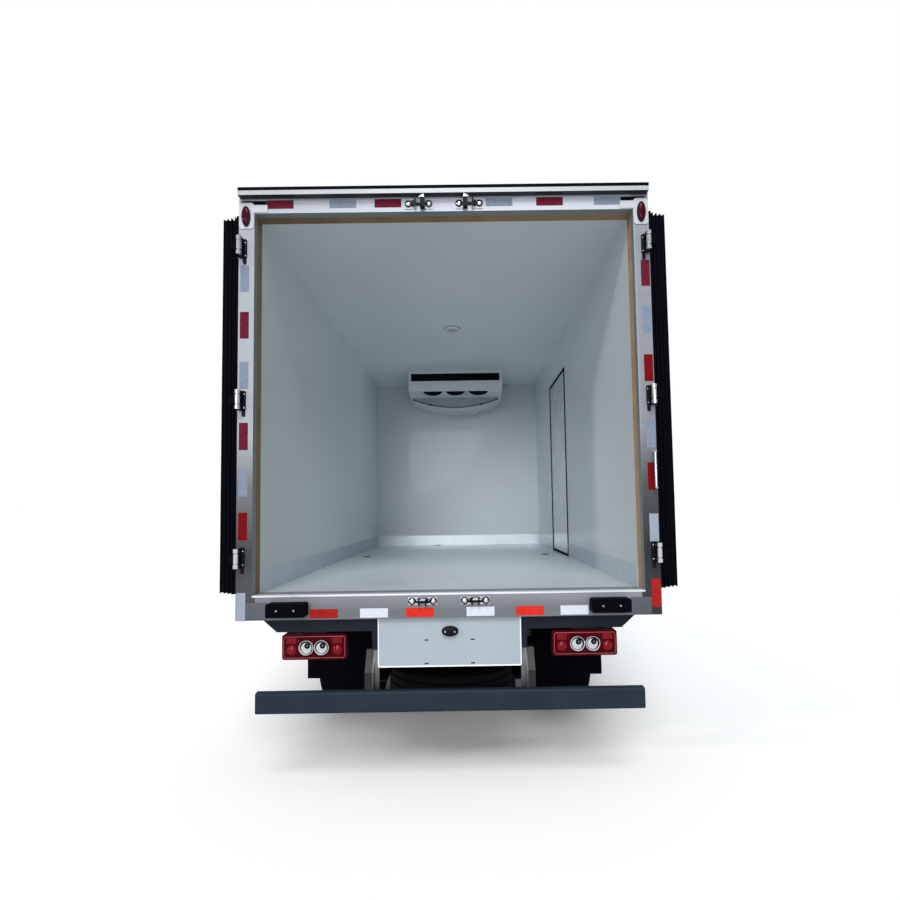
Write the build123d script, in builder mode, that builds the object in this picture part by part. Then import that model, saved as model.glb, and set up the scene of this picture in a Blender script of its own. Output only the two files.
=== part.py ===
"""Light refrigerated truck: cab, ladder frame and insulated box body.

x points right, y forward and z up, in millimetres. The origin lies on the ground below
the middle of the truck. The two rear doors stand folded back along the sides of the box.
"""

import os
from math import asin, atan2, cos, degrees, hypot, radians, sin

from build123d import *

os.makedirs("parts", exist_ok=True)

# Clearances
seat_gap = 0.3
pin_gap = 0.2
door_gap = 6.0

# Whole truck
overall_length = 6024.0
cab_length = 1739.0
front_overhang = 1097.0
rear_overhang = 1619.0
wheel_base = overall_length - front_overhang - rear_overhang
front_y = overall_length / 2
rear_y = -overall_length / 2
front_axle_y = front_y - front_overhang
rear_axle_y = front_axle_y - wheel_base

# Wheels
tyre_radius = 387.0
tyre_width = 200.0
tread_width = 172.0
shoulder_drop = 36.0
bead_width = 140.0
rim_radius = 203.0
rim_wall = 9.0
rim_width = 148.0
hub_radius = 62.0
front_wheel_x = 800.0
twin_middle_x = 785.0
twin_spacing = 230.0
spindle_radius = 32.0
hand_holes = 8
hand_hole_radius = 19.0
hand_hole_circle = 156.0
disc_ring_radius = 122.0
disc_dish_radius = 95.0
wheel_z = tyre_radius

# Ladder frame
rail_height = 180.0
rail_flange = 65.0
rail_plate = 6.0
rail_outer_x = 400.0
rail_top_z = 740.0
rail_bottom_z = rail_top_z - rail_height
rail_inner_x = rail_outer_x - rail_plate
rail_rear_y = rear_y + 152.0
rail_front_y = front_y - 150.0
crossmember_height = 70.0
crossmember_width = 60.0
crossmember_z = rail_top_z - 30.0 - crossmember_height

# Insulated box
box_half_width = 1100.0
wall = 83.0
opening_half_width = box_half_width - wall
sill_bottom_z = 905.0
floor_top_z = 1028.0
ceiling_z = 3064.0
roof_thickness = 86.0
roof_top_z = ceiling_z + roof_thickness
dock_depth = 62.0
frame_rear_y = rear_y + dock_depth
frame_depth = 46.0
jamb_depth = 64.0
jamb_thickness = 20.0
cab_gap = 107.0
bumper_proud = 33.0
inside_length = overall_length - dock_depth - wall - cab_gap - cab_length - bumper_proud
front_wall_y = frame_rear_y + inside_length
box_front_y = front_wall_y + wall
panel_rear_y = frame_rear_y + frame_depth
jamb_front_y = panel_rear_y + jamb_depth
visor_depth = 40.0
visor_height = 41.0
visor_half_width = box_half_width - 7.0
header_height = 80.0
header_top_z = ceiling_z + header_height
kick_height = 120.0
kick_thickness = 3.0

# Cross bearers under the box, with chamfered ends
bearer_height = 68.0
bearer_bottom_z = sill_bottom_z - bearer_height
bearer_half_width = box_half_width - 155.0
bearer_end_chamfer = 48.0
bearer_depth = 60.0
bearer_count = 8

# Rear doors
hinge_pin_x = box_half_width - 18.0
hinge_pin_y = frame_rear_y - 46.0
door_outer_w = frame_rear_y - hinge_pin_y
door_thickness = 70.0
door_inner_w = door_outer_w + door_thickness
door_hinge_u = hinge_pin_x - opening_half_width + door_gap
door_middle_gap = 8.0
door_free_u = hinge_pin_x - door_middle_gap
door_bottom_z = floor_top_z + 8.0
door_top_z = ceiling_z - door_gap
seal_height = 16.0
seal_inner_height = 8.0
seal_base = 5.0
seal_lips = 4
seal_lip_thickness = 6.0
hinge_inset = 190.0
hinge_heights = (
    door_bottom_z + hinge_inset,
    (door_bottom_z + door_top_z) / 2,
    door_top_z - hinge_inset,
)
hinge_knuckle_radius = 13.0
hinge_pin_radius = 6.0
hinge_half_height = 50.0
knuckle_gap = 5.0
strap_half_height = 24.0
strap_length = 250.0
strap_thickness = 8.0
strap_web = 16.0
strap_w = door_outer_w - 2 * strap_thickness
lock_rod_x = 136.0
lock_rod_radius = 7.5
lock_rod_standoff = 13.5
lock_rod_overrun = 42.0
handle_z = 1500.0
handle_length = 280.0

# Side door in the right wall
side_door_front_y = frame_rear_y + 2880.0
side_door_width = 830.0
side_door_bottom_z = floor_top_z + 5.0
side_door_top_z = ceiling_z - 314.0
side_door_taper = 8.0
side_pin_x = box_half_width + 20.0
side_pin_y = side_door_front_y + 25.0
side_hinge_heights = (side_door_bottom_z + 267.0, side_door_top_z - 270.0)

# Cab
cab_half_width = 940.0
cab_back_y = box_front_y + cab_gap
cab_front_y = front_y - bumper_proud
cab_wall = 45.0
cab_bottom_z = 640.0
cab_floor_bottom_z = 880.0
cab_floor_top_z = 920.0
cab_nose_z = 1000.0
belt_z = 1370.0
cab_rail_z = 2080.0
cab_roof_z = 2240.0
cab_crown = 45.0
cab_split_y = cab_front_y - 242.0
arch_radius = 480.0
glass_inset = 6.0
glass_thickness = 7.0
cab_hinge_y = cab_split_y - 220.0
cab_hinge_x = cab_half_width + 15.0
cab_pin_y = cab_hinge_y + door_gap / 2
cab_hinge_heights = (1050.0, 1290.0)
cab_knuckle_radius = 9.0
cab_pin_radius = 4.0
cab_strap_length = 70.0
cab_door_rear_y = cab_back_y + 240.0
cab_door_bottom_z = cab_floor_top_z - 15.0
cab_door_top_z = cab_rail_z - 30.0
cab_door_slant = 170.0
window_frame = 82.0

# Rear end below the box
lamp_x = bearer_half_width - 244.0
lamp_z = 760.0
lamp_width = 338.0
lamp_height = 130.0
lamp_depth = 70.0
lens_radius = 34.0
lens_spacing = 84.0
plate_width = 738.0
plate_height = 247.0
plate_thickness = 4.0
plate_slot_length = 22.0
plate_slot_radius = 3.5
plate_slot_x = 240.0
plate_slot_z = 120.0
plate_slot_middle_z = 727.0
bar_half_width = box_half_width - 95.0
bar_bottom_z = 420.0
bar_height = 110.0
bar_depth = 48.0
bar_bracket_width = 45.0
dock_width = 200.0
dock_height = 70.0
dock_x = box_half_width - 275.0
dock_z = 963.0
marker_x = box_half_width - 40.0
marker_z = ceiling_z - 19.0


def block(x, y, z, mode=Mode.ADD):
    """A box between limits: each argument is (low, high)."""
    with Locations(((x[0] + x[1]) / 2, (y[0] + y[1]) / 2, (z[0] + z[1]) / 2)):
        Box(x[1] - x[0], y[1] - y[0], z[1] - z[0], mode=mode)


def prism(plane, points, amount, mode=Mode.ADD, corner=0.0):
    """A straight-sided outline on a plane, its corners rounded, drawn out by amount."""
    with BuildSketch(plane) as outline:
        with BuildLine():
            Polyline(*points, close=True)
        make_face()
        if corner:
            fillet(outline.vertices(), corner)
    extrude(outline.sketch, amount=amount, mode=mode)


def rod(start, end, radius, mode=Mode.ADD):
    """A round bar between two points."""
    span = Vector(end) - Vector(start)
    with BuildSketch(Plane(origin=start, z_dir=span)) as section:
        Circle(radius)
    extrude(section.sketch, amount=span.length, mode=mode)


def hinge_lugs(z):
    """Height limits of the fixed lugs below and above a strap whose middle is at z."""
    clear = strap_half_height + knuckle_gap
    return ((z - hinge_half_height, z - clear), (z + clear, z + hinge_half_height))


def save(builder, name):
    builder.part.label = name
    export_step(builder.part, f"parts/{name}.step")


def mirrored(x):
    """The limits of a piece on the left, from those of its twin on the right."""
    return (-x[1], -x[0])


# Ladder frame: two channels that open inwards
with BuildPart() as frame_rails:
    block(
        (rail_outer_x - rail_flange, rail_outer_x),
        (rail_rear_y, rail_front_y),
        (rail_bottom_z, rail_top_z),
    )
    block(
        (rail_outer_x - rail_flange, rail_inner_x),
        (rail_rear_y, rail_front_y),
        (rail_bottom_z + rail_plate, rail_top_z - rail_plate),
        mode=Mode.SUBTRACT,
    )
    mirror(about=Plane.YZ)
save(frame_rails, "frame_rails")

bay_y = (rear_axle_y + 720.0, front_axle_y - 1100.0)
crossmember_y = (
    rail_rear_y + 60.0,
    rear_axle_y - 700.0,
    bay_y[0],
    (bay_y[0] + bay_y[1]) / 2,
    bay_y[1],
    front_axle_y + 800.0,
)


def in_bay(rear, front):
    """Length limits between the axles, as shares of the bay from its rear end."""
    bay = bay_y[1] - bay_y[0]
    return (bay_y[0] + rear * bay, bay_y[0] + front * bay)


with BuildPart() as frame_crossmembers:
    for y in crossmember_y:
        block(
            (-rail_inner_x, rail_inner_x),
            (y - crossmember_width / 2, y + crossmember_width / 2),
            (crossmember_z, crossmember_z + crossmember_height),
        )
save(frame_crossmembers, "frame_crossmembers")

# Engine and gearbox as one plain block, with the output flange on the shaft's line
engine_x = 280.0
engine_y = (front_axle_y - 355.0, front_axle_y + 435.0)
engine_z = (470.0, 850.0)
gearbox_x = 180.0
gearbox_length = 560.0
gearbox_z = (480.0, 720.0)
shaft_radius = 38.0
shaft_front = Vector(0, engine_y[0] - gearbox_length - 60.0, 585.0)
shaft_rear = Vector(0, rear_axle_y + 230.0, wheel_z + 15.0)
shaft_line = shaft_front - shaft_rear
with BuildPart() as engine:
    block((-engine_x, engine_x), engine_y, engine_z)
    block((-gearbox_x, gearbox_x), (engine_y[0] - gearbox_length, engine_y[0]), gearbox_z)
    rod(shaft_front, shaft_front + shaft_line.normalized() * 90.0, shaft_radius * 1.3)
save(engine, "engine_and_gearbox")

# Rear axle housing, spring seats, spindles and the propeller shaft
rear_tube_radius = 60.0
differential_radius = 165.0
rear_spring_x = 440.0
spring_width = 70.0
rear_spring_seat_z = wheel_z + rear_tube_radius + 5.0
rear_spindle_x = twin_middle_x + 93.0
rear_hub_half = 110.0
rear_tube_x = twin_middle_x - rear_hub_half - 10.0
with BuildPart() as rear_axle:
    rod((-rear_tube_x, rear_axle_y, wheel_z), (rear_tube_x, rear_axle_y, wheel_z), rear_tube_radius)
    rod((-rear_spindle_x, rear_axle_y, wheel_z), (rear_spindle_x, rear_axle_y, wheel_z), spindle_radius)
    with Locations((0, rear_axle_y, wheel_z)):
        Sphere(differential_radius)
    for side in (-1, 1):
        x = side * rear_spring_x
        block(
            (x - spring_width / 2, x + spring_width / 2),
            (rear_axle_y - 60.0, rear_axle_y + 60.0),
            (wheel_z, rear_spring_seat_z),
        )
    rod((0, rear_axle_y, wheel_z), shaft_rear, shaft_radius * 1.6)
    rod(shaft_rear, shaft_front, shaft_radius)
save(rear_axle, "rear_axle")

# Front axle beam with a dropped middle and an eye for each kingpin
kingpin_x = 680.0
kingpin_radius = 20.0
eye_radius = 45.0
eye_half_height = 45.0
beam_half_depth = 35.0
beam_top_z = 345.0
beam_height = 70.0
beam_bend_x = 430.0
front_spring_x = 365.0
with BuildPart() as front_axle:
    prism(
        Plane.XZ.offset(-front_axle_y - beam_half_depth),
        [
            (-kingpin_x, wheel_z + 30.0),
            (-beam_bend_x, beam_top_z),
            (beam_bend_x, beam_top_z),
            (kingpin_x, wheel_z + 30.0),
            (kingpin_x, wheel_z - 32.0),
            (beam_bend_x, beam_top_z - beam_height),
            (-beam_bend_x, beam_top_z - beam_height),
            (-kingpin_x, wheel_z - 32.0),
        ],
        2 * beam_half_depth,
    )
    for side in (-1, 1):
        eye = (side * kingpin_x, front_axle_y)
        rod((*eye, wheel_z - eye_half_height), (*eye, wheel_z + eye_half_height), eye_radius)
    for side in (-1, 1):
        eye = (side * kingpin_x, front_axle_y)
        rod(
            (*eye, wheel_z - eye_half_height),
            (*eye, wheel_z + eye_half_height),
            kingpin_radius + pin_gap,
            mode=Mode.SUBTRACT,
        )
save(front_axle, "front_axle_beam")

# Leaf springs; columns: x, middle y, seat z, leaves, half length, camber, hanger x limits, hanger z limits
leaf_thickness = 11.0
leaf_step = 90.0
hanger_half_length = 30.0
spring_table = (
    (
        front_spring_x, front_axle_y, beam_top_z, 4, 600.0, 110.0,
        (front_spring_x - spring_width / 2, front_spring_x + spring_width / 2), (485.0, rail_bottom_z),
    ),
    (
        rear_spring_x, rear_axle_y, rear_spring_seat_z, 6, 650.0, 90.0,
        (rail_outer_x, rear_spring_x + spring_width / 2), (585.0, rail_top_z - 30.0),
    ),
)
with BuildPart() as leaf_springs:
    for x, y, seat_z, leaves, half_length, camber, hanger_x, hanger_z in spring_table:
        radius = (half_length**2 + camber**2) / (2 * camber)
        centre_z = seat_z + leaves * leaf_thickness + radius
        with BuildSketch(Plane.YZ.offset(x - spring_width / 2)) as pack:
            for leaf in range(leaves):
                inner = radius + leaf * leaf_thickness
                outer = inner + leaf_thickness
                angle = asin((half_length - leaf * leaf_step) / radius)
                ends = [
                    [(y + s * r * sin(angle), centre_z - r * cos(angle)) for s in (-1, 1)]
                    for r in (inner, outer)
                ]
                with BuildLine():
                    ThreePointArc(ends[0][0], (y, centre_z - inner), ends[0][1])
                    Line(ends[0][1], ends[1][1])
                    ThreePointArc(ends[1][1], (y, centre_z - outer), ends[1][0])
                    Line(ends[1][0], ends[0][0])
                make_face()
        extrude(pack.sketch, amount=spring_width)
        for end in (-1, 1):
            middle = y + end * half_length
            block(hanger_x, (middle - hanger_half_length, middle + hanger_half_length), hanger_z)
    mirror(about=Plane.YZ)
save(leaf_springs, "leaf_springs")

# Steering knuckles: yoke, kingpin, spindle and steering arm
yoke_gap = 5.0
yoke_lug = 33.0
yoke_radius = 42.0
yoke_web_x = (kingpin_x + eye_radius + 3.0, kingpin_x + eye_radius + 27.0)
yoke_half_height = eye_half_height + yoke_gap + yoke_lug
yoke_z = (wheel_z - yoke_half_height, wheel_z + yoke_half_height)
front_spindle_x = front_wheel_x + 70.0
steering_arm = 180.0
arm_half_width = 18.0
arm_height = 25.0
tie_pin_radius = 9.0
tie_eye_radius = 20.0
tie_eye_height = 28.0
tie_rod_radius = 13.0
arm_y = front_axle_y - steering_arm
tie_eye_z = (yoke_z[0] - 5.0 - tie_eye_height, yoke_z[0] - 5.0)
for side, name in ((-1, "left"), (1, "right")):
    with BuildPart() as knuckle:
        for low, high in ((yoke_z[0], yoke_z[0] + yoke_lug), (yoke_z[1] - yoke_lug, yoke_z[1])):
            rod((kingpin_x, front_axle_y, low), (kingpin_x, front_axle_y, high), yoke_radius)
            block((kingpin_x, yoke_web_x[1]), (front_axle_y - 36.0, front_axle_y + 36.0), (low, high))
        block(yoke_web_x, (front_axle_y - 36.0, front_axle_y + 36.0), yoke_z)
        rod((kingpin_x, front_axle_y, yoke_z[0]), (kingpin_x, front_axle_y, yoke_z[1]), kingpin_radius)
        spindle = [(x, front_axle_y, wheel_z) for x in (yoke_web_x[0], front_spindle_x)]
        rod(*spindle, spindle_radius)
        block(
            (kingpin_x - arm_half_width, kingpin_x + arm_half_width),
            (arm_y, front_axle_y),
            (yoke_z[0], yoke_z[0] + arm_height),
        )
        rod((kingpin_x, arm_y, yoke_z[0]), (kingpin_x, arm_y, yoke_z[0] + arm_height), tie_eye_radius)
        rod((kingpin_x, arm_y, tie_eye_z[0] - 4.0), (kingpin_x, arm_y, yoke_z[0]), tie_pin_radius)
        if side < 0:
            mirror(about=Plane.YZ, mode=Mode.REPLACE)
    save(knuckle, f"knuckle_{name}")

with BuildPart() as tie_rod:
    tie_middle_z = (tie_eye_z[0] + tie_eye_z[1]) / 2
    rod((-kingpin_x, arm_y, tie_middle_z), (kingpin_x, arm_y, tie_middle_z), tie_rod_radius)
    for side in (-1, 1):
        tie_eye = [(side * kingpin_x, arm_y, z) for z in tie_eye_z]
        rod(*tie_eye, tie_eye_radius)
    for side in (-1, 1):
        rod(
            (side * kingpin_x, arm_y, tie_eye_z[0]),
            (side * kingpin_x, arm_y, tie_eye_z[1]),
            tie_pin_radius + pin_gap,
            mode=Mode.SUBTRACT,
        )
save(tie_rod, "tie_rod")


# Wheels: outlines of (distance out from the wheel's plane, radius), turned about the axle
def turned(x, y, out, outlines):
    """A ring turned from outlines about an axle at (y, wheel_z); out is the outer side's sign."""
    plane = Plane(origin=(x, y, wheel_z), x_dir=(out, 0, 0), z_dir=(0, -out, 0))
    with BuildPart() as ring:
        with BuildSketch(plane):
            for points in outlines:
                with BuildLine():
                    Polyline(*points, close=True)
                make_face()
        revolve(axis=Axis((x, y, wheel_z), (out, 0, 0)))
    return ring.part


def tyre_outline(middle):
    half, bead, tread = tyre_width / 2, bead_width / 2, tread_width / 2
    bore = rim_radius + seat_gap
    shoulder = tyre_radius - shoulder_drop
    return [
        (middle - bead, bore),
        (middle - half, shoulder),
        (middle - tread, tyre_radius),
        (middle + tread, tyre_radius),
        (middle + half, shoulder),
        (middle + bead, bore),
    ]


def barrel_outline(middle):
    half = rim_width / 2
    return [
        (middle - half, rim_radius - rim_wall),
        (middle - half, rim_radius),
        (middle + half, rim_radius),
        (middle + half, rim_radius - rim_wall),
    ]


def hub_outline(inner, outer, bore_end, bore):
    return [
        (inner, bore),
        (inner, hub_radius),
        (outer, hub_radius),
        (outer, 0),
        (bore_end, 0),
        (bore_end, bore),
    ]


def disc_outline(rim_out, rim_in, hub_out, hub_in):
    """A dished disc: a flat ring at the barrel, a cone and a flat face at the hub."""
    inside = rim_radius - rim_wall
    return [
        (rim_out, inside),
        (rim_out, disc_ring_radius),
        (hub_out, disc_dish_radius),
        (hub_out, hub_radius),
        (hub_in, hub_radius),
        (hub_in, disc_dish_radius),
        (rim_in, disc_ring_radius),
        (rim_in, inside),
    ]


def hand_hole_ring(x, y, out, start, depth):
    """The cylinders that open the disc's hand holes."""
    plane = Plane(origin=(x + out * start, y, wheel_z), x_dir=(0, 1, 0), z_dir=(out, 0, 0))
    with BuildPart() as holes:
        with BuildSketch(plane):
            with PolarLocations(hand_hole_circle, hand_holes):
                Circle(hand_hole_radius)
        extrude(amount=depth)
    return holes.part


bore_radius = spindle_radius + pin_gap
twin_half = twin_spacing / 2
for out, name in ((-1, "left"), (1, "right")):
    x = out * front_wheel_x
    rim = turned(
        x, front_axle_y, out,
        [
            barrel_outline(0),
            disc_outline(40.0, 28.0, 56.0, 44.0),
            hub_outline(-45.0, 92.0, 72.0, bore_radius),
        ],
    )
    tyre = turned(x, front_axle_y, out, [tyre_outline(0)])
    holes = hand_hole_ring(x, front_axle_y, out, 10.0, 60.0)
    with BuildPart() as front_wheel:
        add(rim)
        add(holes, mode=Mode.SUBTRACT)
        add(tyre)
    save(front_wheel, f"front_wheel_{name}")

    x = out * twin_middle_x
    rims = turned(
        x, rear_axle_y, out,
        [
            barrel_outline(twin_half),
            barrel_outline(-twin_half),
            disc_outline(62.0, 50.0, 12.0, 0.0),
            disc_outline(-62.0, -50.0, -12.0, 0.0),
            hub_outline(-rear_hub_half, 126.0, 95.0, bore_radius),
        ],
    )
    tyres = turned(x, rear_axle_y, out, [tyre_outline(twin_half), tyre_outline(-twin_half)])
    holes = hand_hole_ring(x, rear_axle_y, out, -80.0, 160.0)
    with BuildPart() as rear_wheels:
        add(rims)
        add(holes, mode=Mode.SUBTRACT)
        add(tyres)
    save(rear_wheels, f"rear_wheels_{name}")

# Spare wheel flat below the frame rails, hung on a post from a bar between two crossmembers
spare_y = frame_rear_y + 597.0
spare_z = rail_bottom_z - 10.0 - tyre_width / 2
spare_disc = 12.0
spare_post_radius = 20.0
spare_bar_half_width = 40.0
spare_bar_z = (crossmember_z - 30.0, crossmember_z)
with BuildPart() as spare_wheel:
    with BuildSketch(Plane.XZ.offset(-spare_y)) as spare_section:
        for points in (tyre_outline(spare_z), barrel_outline(spare_z)):
            with BuildLine():
                Polyline(*[(radius, height) for height, radius in points], close=True)
            make_face()
    revolve(spare_section.sketch, axis=Axis((0, spare_y, 0), (0, 0, 1)))
    disc_z = (spare_z - spare_disc / 2, spare_z + spare_disc / 2)
    rod((0, spare_y, disc_z[0]), (0, spare_y, disc_z[1]), rim_radius - rim_wall)
    rod((0, spare_y, disc_z[0]), (0, spare_y, spare_bar_z[1]), spare_post_radius)
    block((-spare_bar_half_width, spare_bar_half_width), crossmember_y[:2], spare_bar_z)
save(spare_wheel, "spare_wheel")

# Mudguards over the twin wheels, with flaps behind
guard_radius = 430.0
guard_thickness = 6.0
guard_x = (560.0, 1055.0)
guard_end_angle = 8.0
guard_bracket_y = 300.0
flap_x = (565.0, 945.0)
flap_bottom_z = 200.0
skirt_bottom_z = 270.0
flap_thickness = 8.0
with BuildPart() as rear_mudguards:
    with BuildSketch(Plane.YZ.offset(guard_x[0])):
        with Locations((rear_axle_y, wheel_z)):
            Circle(guard_radius + guard_thickness)
            Circle(guard_radius, mode=Mode.SUBTRACT)
        with BuildLine():
            reach = 2 * guard_radius
            drop = wheel_z + guard_radius * sin(radians(guard_end_angle))
            Polyline(
                (rear_axle_y - reach, drop),
                (rear_axle_y + reach, drop),
                (rear_axle_y + reach, drop - reach),
                (rear_axle_y - reach, drop - reach),
                close=True,
            )
        make_face(mode=Mode.SUBTRACT)
    extrude(amount=guard_x[1] - guard_x[0])
    guard_rear_y = rear_axle_y - (guard_radius + guard_thickness) * cos(radians(guard_end_angle))
    block(flap_x, (guard_rear_y, guard_rear_y + flap_thickness), (flap_bottom_z, drop + 40.0))
    block(guard_x, (guard_rear_y, guard_rear_y + flap_thickness), (skirt_bottom_z, drop + 40.0))
    bracket_z = wheel_z + ((guard_radius + guard_thickness / 2) ** 2 - guard_bracket_y**2) ** 0.5
    for end in (-1, 1):
        y = rear_axle_y + end * guard_bracket_y
        rod((rail_outer_x, y, bracket_z), (guard_x[0] + 40.0, y, bracket_z), 14.0)
    mirror(about=Plane.YZ)
save(rear_mudguards, "rear_mudguards")

# Fuel tank on the left, battery box and exhaust silencer on the right
tank_standoff = 30.0
stay_z = (rail_bottom_z + 10.0, rail_top_z - 10.0)
tank_x = (rail_outer_x + tank_standoff, 900.0)
tank_y = in_bay(0.46, 0.92)
tank_z = (470.0, 790.0)
tank_strap_y = in_bay(0.54, 0.84)
with BuildPart() as fuel_tank:
    block(mirrored(tank_x), tank_y, tank_z)
    fillet(fuel_tank.edges().filter_by(Axis.Y), 60.0)
    for y in tank_strap_y:
        block(mirrored((rail_outer_x, tank_x[0] + 70.0)), (y - 25.0, y + 25.0), stay_z)
    filler = Vector(110.0 - tank_x[1], tank_y[1] - 100.0, tank_z[1])
    rod(filler, filler + Vector(0, 0, 25.0), 45.0)
save(fuel_tank, "fuel_tank")

battery_x = (rail_outer_x + tank_standoff, 820.0)
battery_y = in_bay(0.70, 1.0)
battery_z = (510.0, 770.0)
with BuildPart() as battery_box:
    block(battery_x, battery_y, battery_z)
    chamfer(battery_box.edges().filter_by(Axis.Z), 18.0)
    block((rail_outer_x, battery_x[0]), in_bay(0.74, 0.96), stay_z)
save(battery_box, "battery_box")

silencer_x = 600.0
silencer_z = 610.0
silencer_radius = 115.0
silencer_y = in_bay(0.08, 0.50)
with BuildPart() as silencer:
    rod((silencer_x, silencer_y[0], silencer_z), (silencer_x, silencer_y[1], silencer_z), silencer_radius)
    chamfer(silencer.edges().filter_by(GeomType.CIRCLE), 20.0)
    pipe_y = in_bay(0.01, 0.57)
    rod((silencer_x, pipe_y[0], silencer_z), (silencer_x, pipe_y[1], silencer_z), 32.0)
    for y in in_bay(0.18, 0.40):
        block((rail_outer_x, silencer_x), (y - 20.0, y + 20.0), (silencer_z - 20.0, silencer_z + 20.0))
save(silencer, "exhaust_silencer")

# Cross bearers: a pad on the rails, a level underside and chamfered ends
bearer_first_y = frame_rear_y + 30.0
bearer_last_y = box_front_y - 60.0 - bearer_depth
with BuildPart() as cross_bearers:
    for number in range(bearer_count):
        y = bearer_first_y + (bearer_last_y - bearer_first_y) * number / (bearer_count - 1)
        prism(
            Plane.XZ.offset(-y - bearer_depth),
            [
                (-bearer_half_width, sill_bottom_z),
                (bearer_half_width, sill_bottom_z),
                (bearer_half_width - bearer_end_chamfer, bearer_bottom_z),
                (rail_outer_x + 5.0, bearer_bottom_z),
                (rail_outer_x, rail_top_z),
                (-rail_outer_x, rail_top_z),
                (-rail_outer_x - 5.0, bearer_bottom_z),
                (-bearer_half_width + bearer_end_chamfer, bearer_bottom_z),
            ],
            bearer_depth,
        )
save(cross_bearers, "cross_bearers")

# Side guards hang from the box walls between the axles
guard_rail_x = (box_half_width - 50.0, box_half_width - 20.0)
guard_rail_y = (rear_axle_y + 540.0, front_axle_y - 800.0)
guard_rail_height = 80.0
guard_rail_z = (480.0, 680.0)
guard_post_thickness = 15.0
guard_posts = 3
with BuildPart() as side_guards:
    for z in guard_rail_z:
        block(guard_rail_x, guard_rail_y, (z, z + guard_rail_height))
    for number in range(guard_posts):
        y = guard_rail_y[0] + 150.0 + (guard_rail_y[1] - guard_rail_y[0] - 300.0) * number / (guard_posts - 1)
        block(
            (guard_rail_x[0] - guard_post_thickness, guard_rail_x[0]),
            (y - 30.0, y + 30.0),
            (guard_rail_z[0], sill_bottom_z),
        )
    mirror(about=Plane.YZ)
save(side_guards, "side_guards")

# Box floor, roof and walls
inside_y = (panel_rear_y, front_wall_y)
with BuildPart() as box_floor:
    block((-opening_half_width, opening_half_width), inside_y, (sill_bottom_z, floor_top_z))
save(box_floor, "box_floor")

with BuildPart() as box_roof:
    block((-opening_half_width, opening_half_width), inside_y, (ceiling_z, roof_top_z))
    block(
        (-opening_half_width, opening_half_width),
        (panel_rear_y, jamb_front_y),
        (ceiling_z, ceiling_z + jamb_thickness),
        mode=Mode.SUBTRACT,
    )
save(box_roof, "box_roof")

with BuildPart() as box_front_wall:
    block((-box_half_width, box_half_width), (front_wall_y, box_front_y), (sill_bottom_z, roof_top_z))
save(box_front_wall, "box_front_wall")

side_door_y = (side_door_front_y - side_door_width, side_door_front_y)
for side, name in ((-1, "left"), (1, "right")):
    with BuildPart() as box_side:
        block((opening_half_width, box_half_width), inside_y, (sill_bottom_z, roof_top_z))
        block(
            (opening_half_width, opening_half_width + jamb_thickness),
            (panel_rear_y, jamb_front_y),
            (floor_top_z, ceiling_z + jamb_thickness),
            mode=Mode.SUBTRACT,
        )
        if side > 0:
            block(
                (opening_half_width, box_half_width),
                side_door_y,
                (side_door_bottom_z, side_door_top_z),
                mode=Mode.SUBTRACT,
            )
            for z in side_hinge_heights:
                for low, high in hinge_lugs(z):
                    rod((side_pin_x, side_pin_y, low), (side_pin_x, side_pin_y, high), hinge_knuckle_radius)
                    block((box_half_width, side_pin_x), (side_pin_y, side_pin_y + 70.0), (low, high))
                pin_z = (z - hinge_half_height, z + hinge_half_height)
                rod((side_pin_x, side_pin_y, pin_z[0]), (side_pin_x, side_pin_y, pin_z[1]), hinge_pin_radius)
        else:
            mirror(about=Plane.YZ, mode=Mode.REPLACE)
    save(box_side, f"box_side_{name}")

# Rear portal with its rain visor, and the jamb that the door seals press on
with BuildPart() as rear_frame:
    block(
        (-box_half_width, box_half_width),
        (frame_rear_y, panel_rear_y),
        (sill_bottom_z, header_top_z + visor_height),
    )
    block(
        (-opening_half_width, opening_half_width),
        (frame_rear_y, panel_rear_y),
        (floor_top_z, ceiling_z),
        mode=Mode.SUBTRACT,
    )
    block(
        (-visor_half_width, visor_half_width),
        (frame_rear_y - visor_depth, frame_rear_y),
        (header_top_z, header_top_z + visor_height),
    )
    chamfer(rear_frame.edges().filter_by(Axis.X).group_by(Axis.Y)[0].sort_by(Axis.Z)[-1], 4.0)
save(rear_frame, "rear_frame")

with BuildPart() as door_jamb:
    outer_x = opening_half_width + jamb_thickness
    block((-outer_x, outer_x), (panel_rear_y, jamb_front_y), (floor_top_z, ceiling_z + jamb_thickness))
    block(
        (-opening_half_width, opening_half_width),
        (panel_rear_y, jamb_front_y),
        (floor_top_z, ceiling_z),
        mode=Mode.SUBTRACT,
    )
save(door_jamb, "door_jamb")

# Kick plates along the foot of three walls, broken at the side door
kick_z = (floor_top_z, floor_top_z + kick_height)
kick_x = (opening_half_width - kick_thickness, opening_half_width)
kick_y = (jamb_front_y, front_wall_y - kick_thickness)
with BuildPart() as kick_plates:
    block(mirrored(kick_x), kick_y, kick_z)
    block(kick_x, (kick_y[0], side_door_y[0] - 10.0), kick_z)
    block(kick_x, (side_door_y[1] + 10.0, kick_y[1]), kick_z)
    block((-opening_half_width, opening_half_width), (kick_y[1], front_wall_y), kick_z)
save(kick_plates, "kick_plates")

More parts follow.
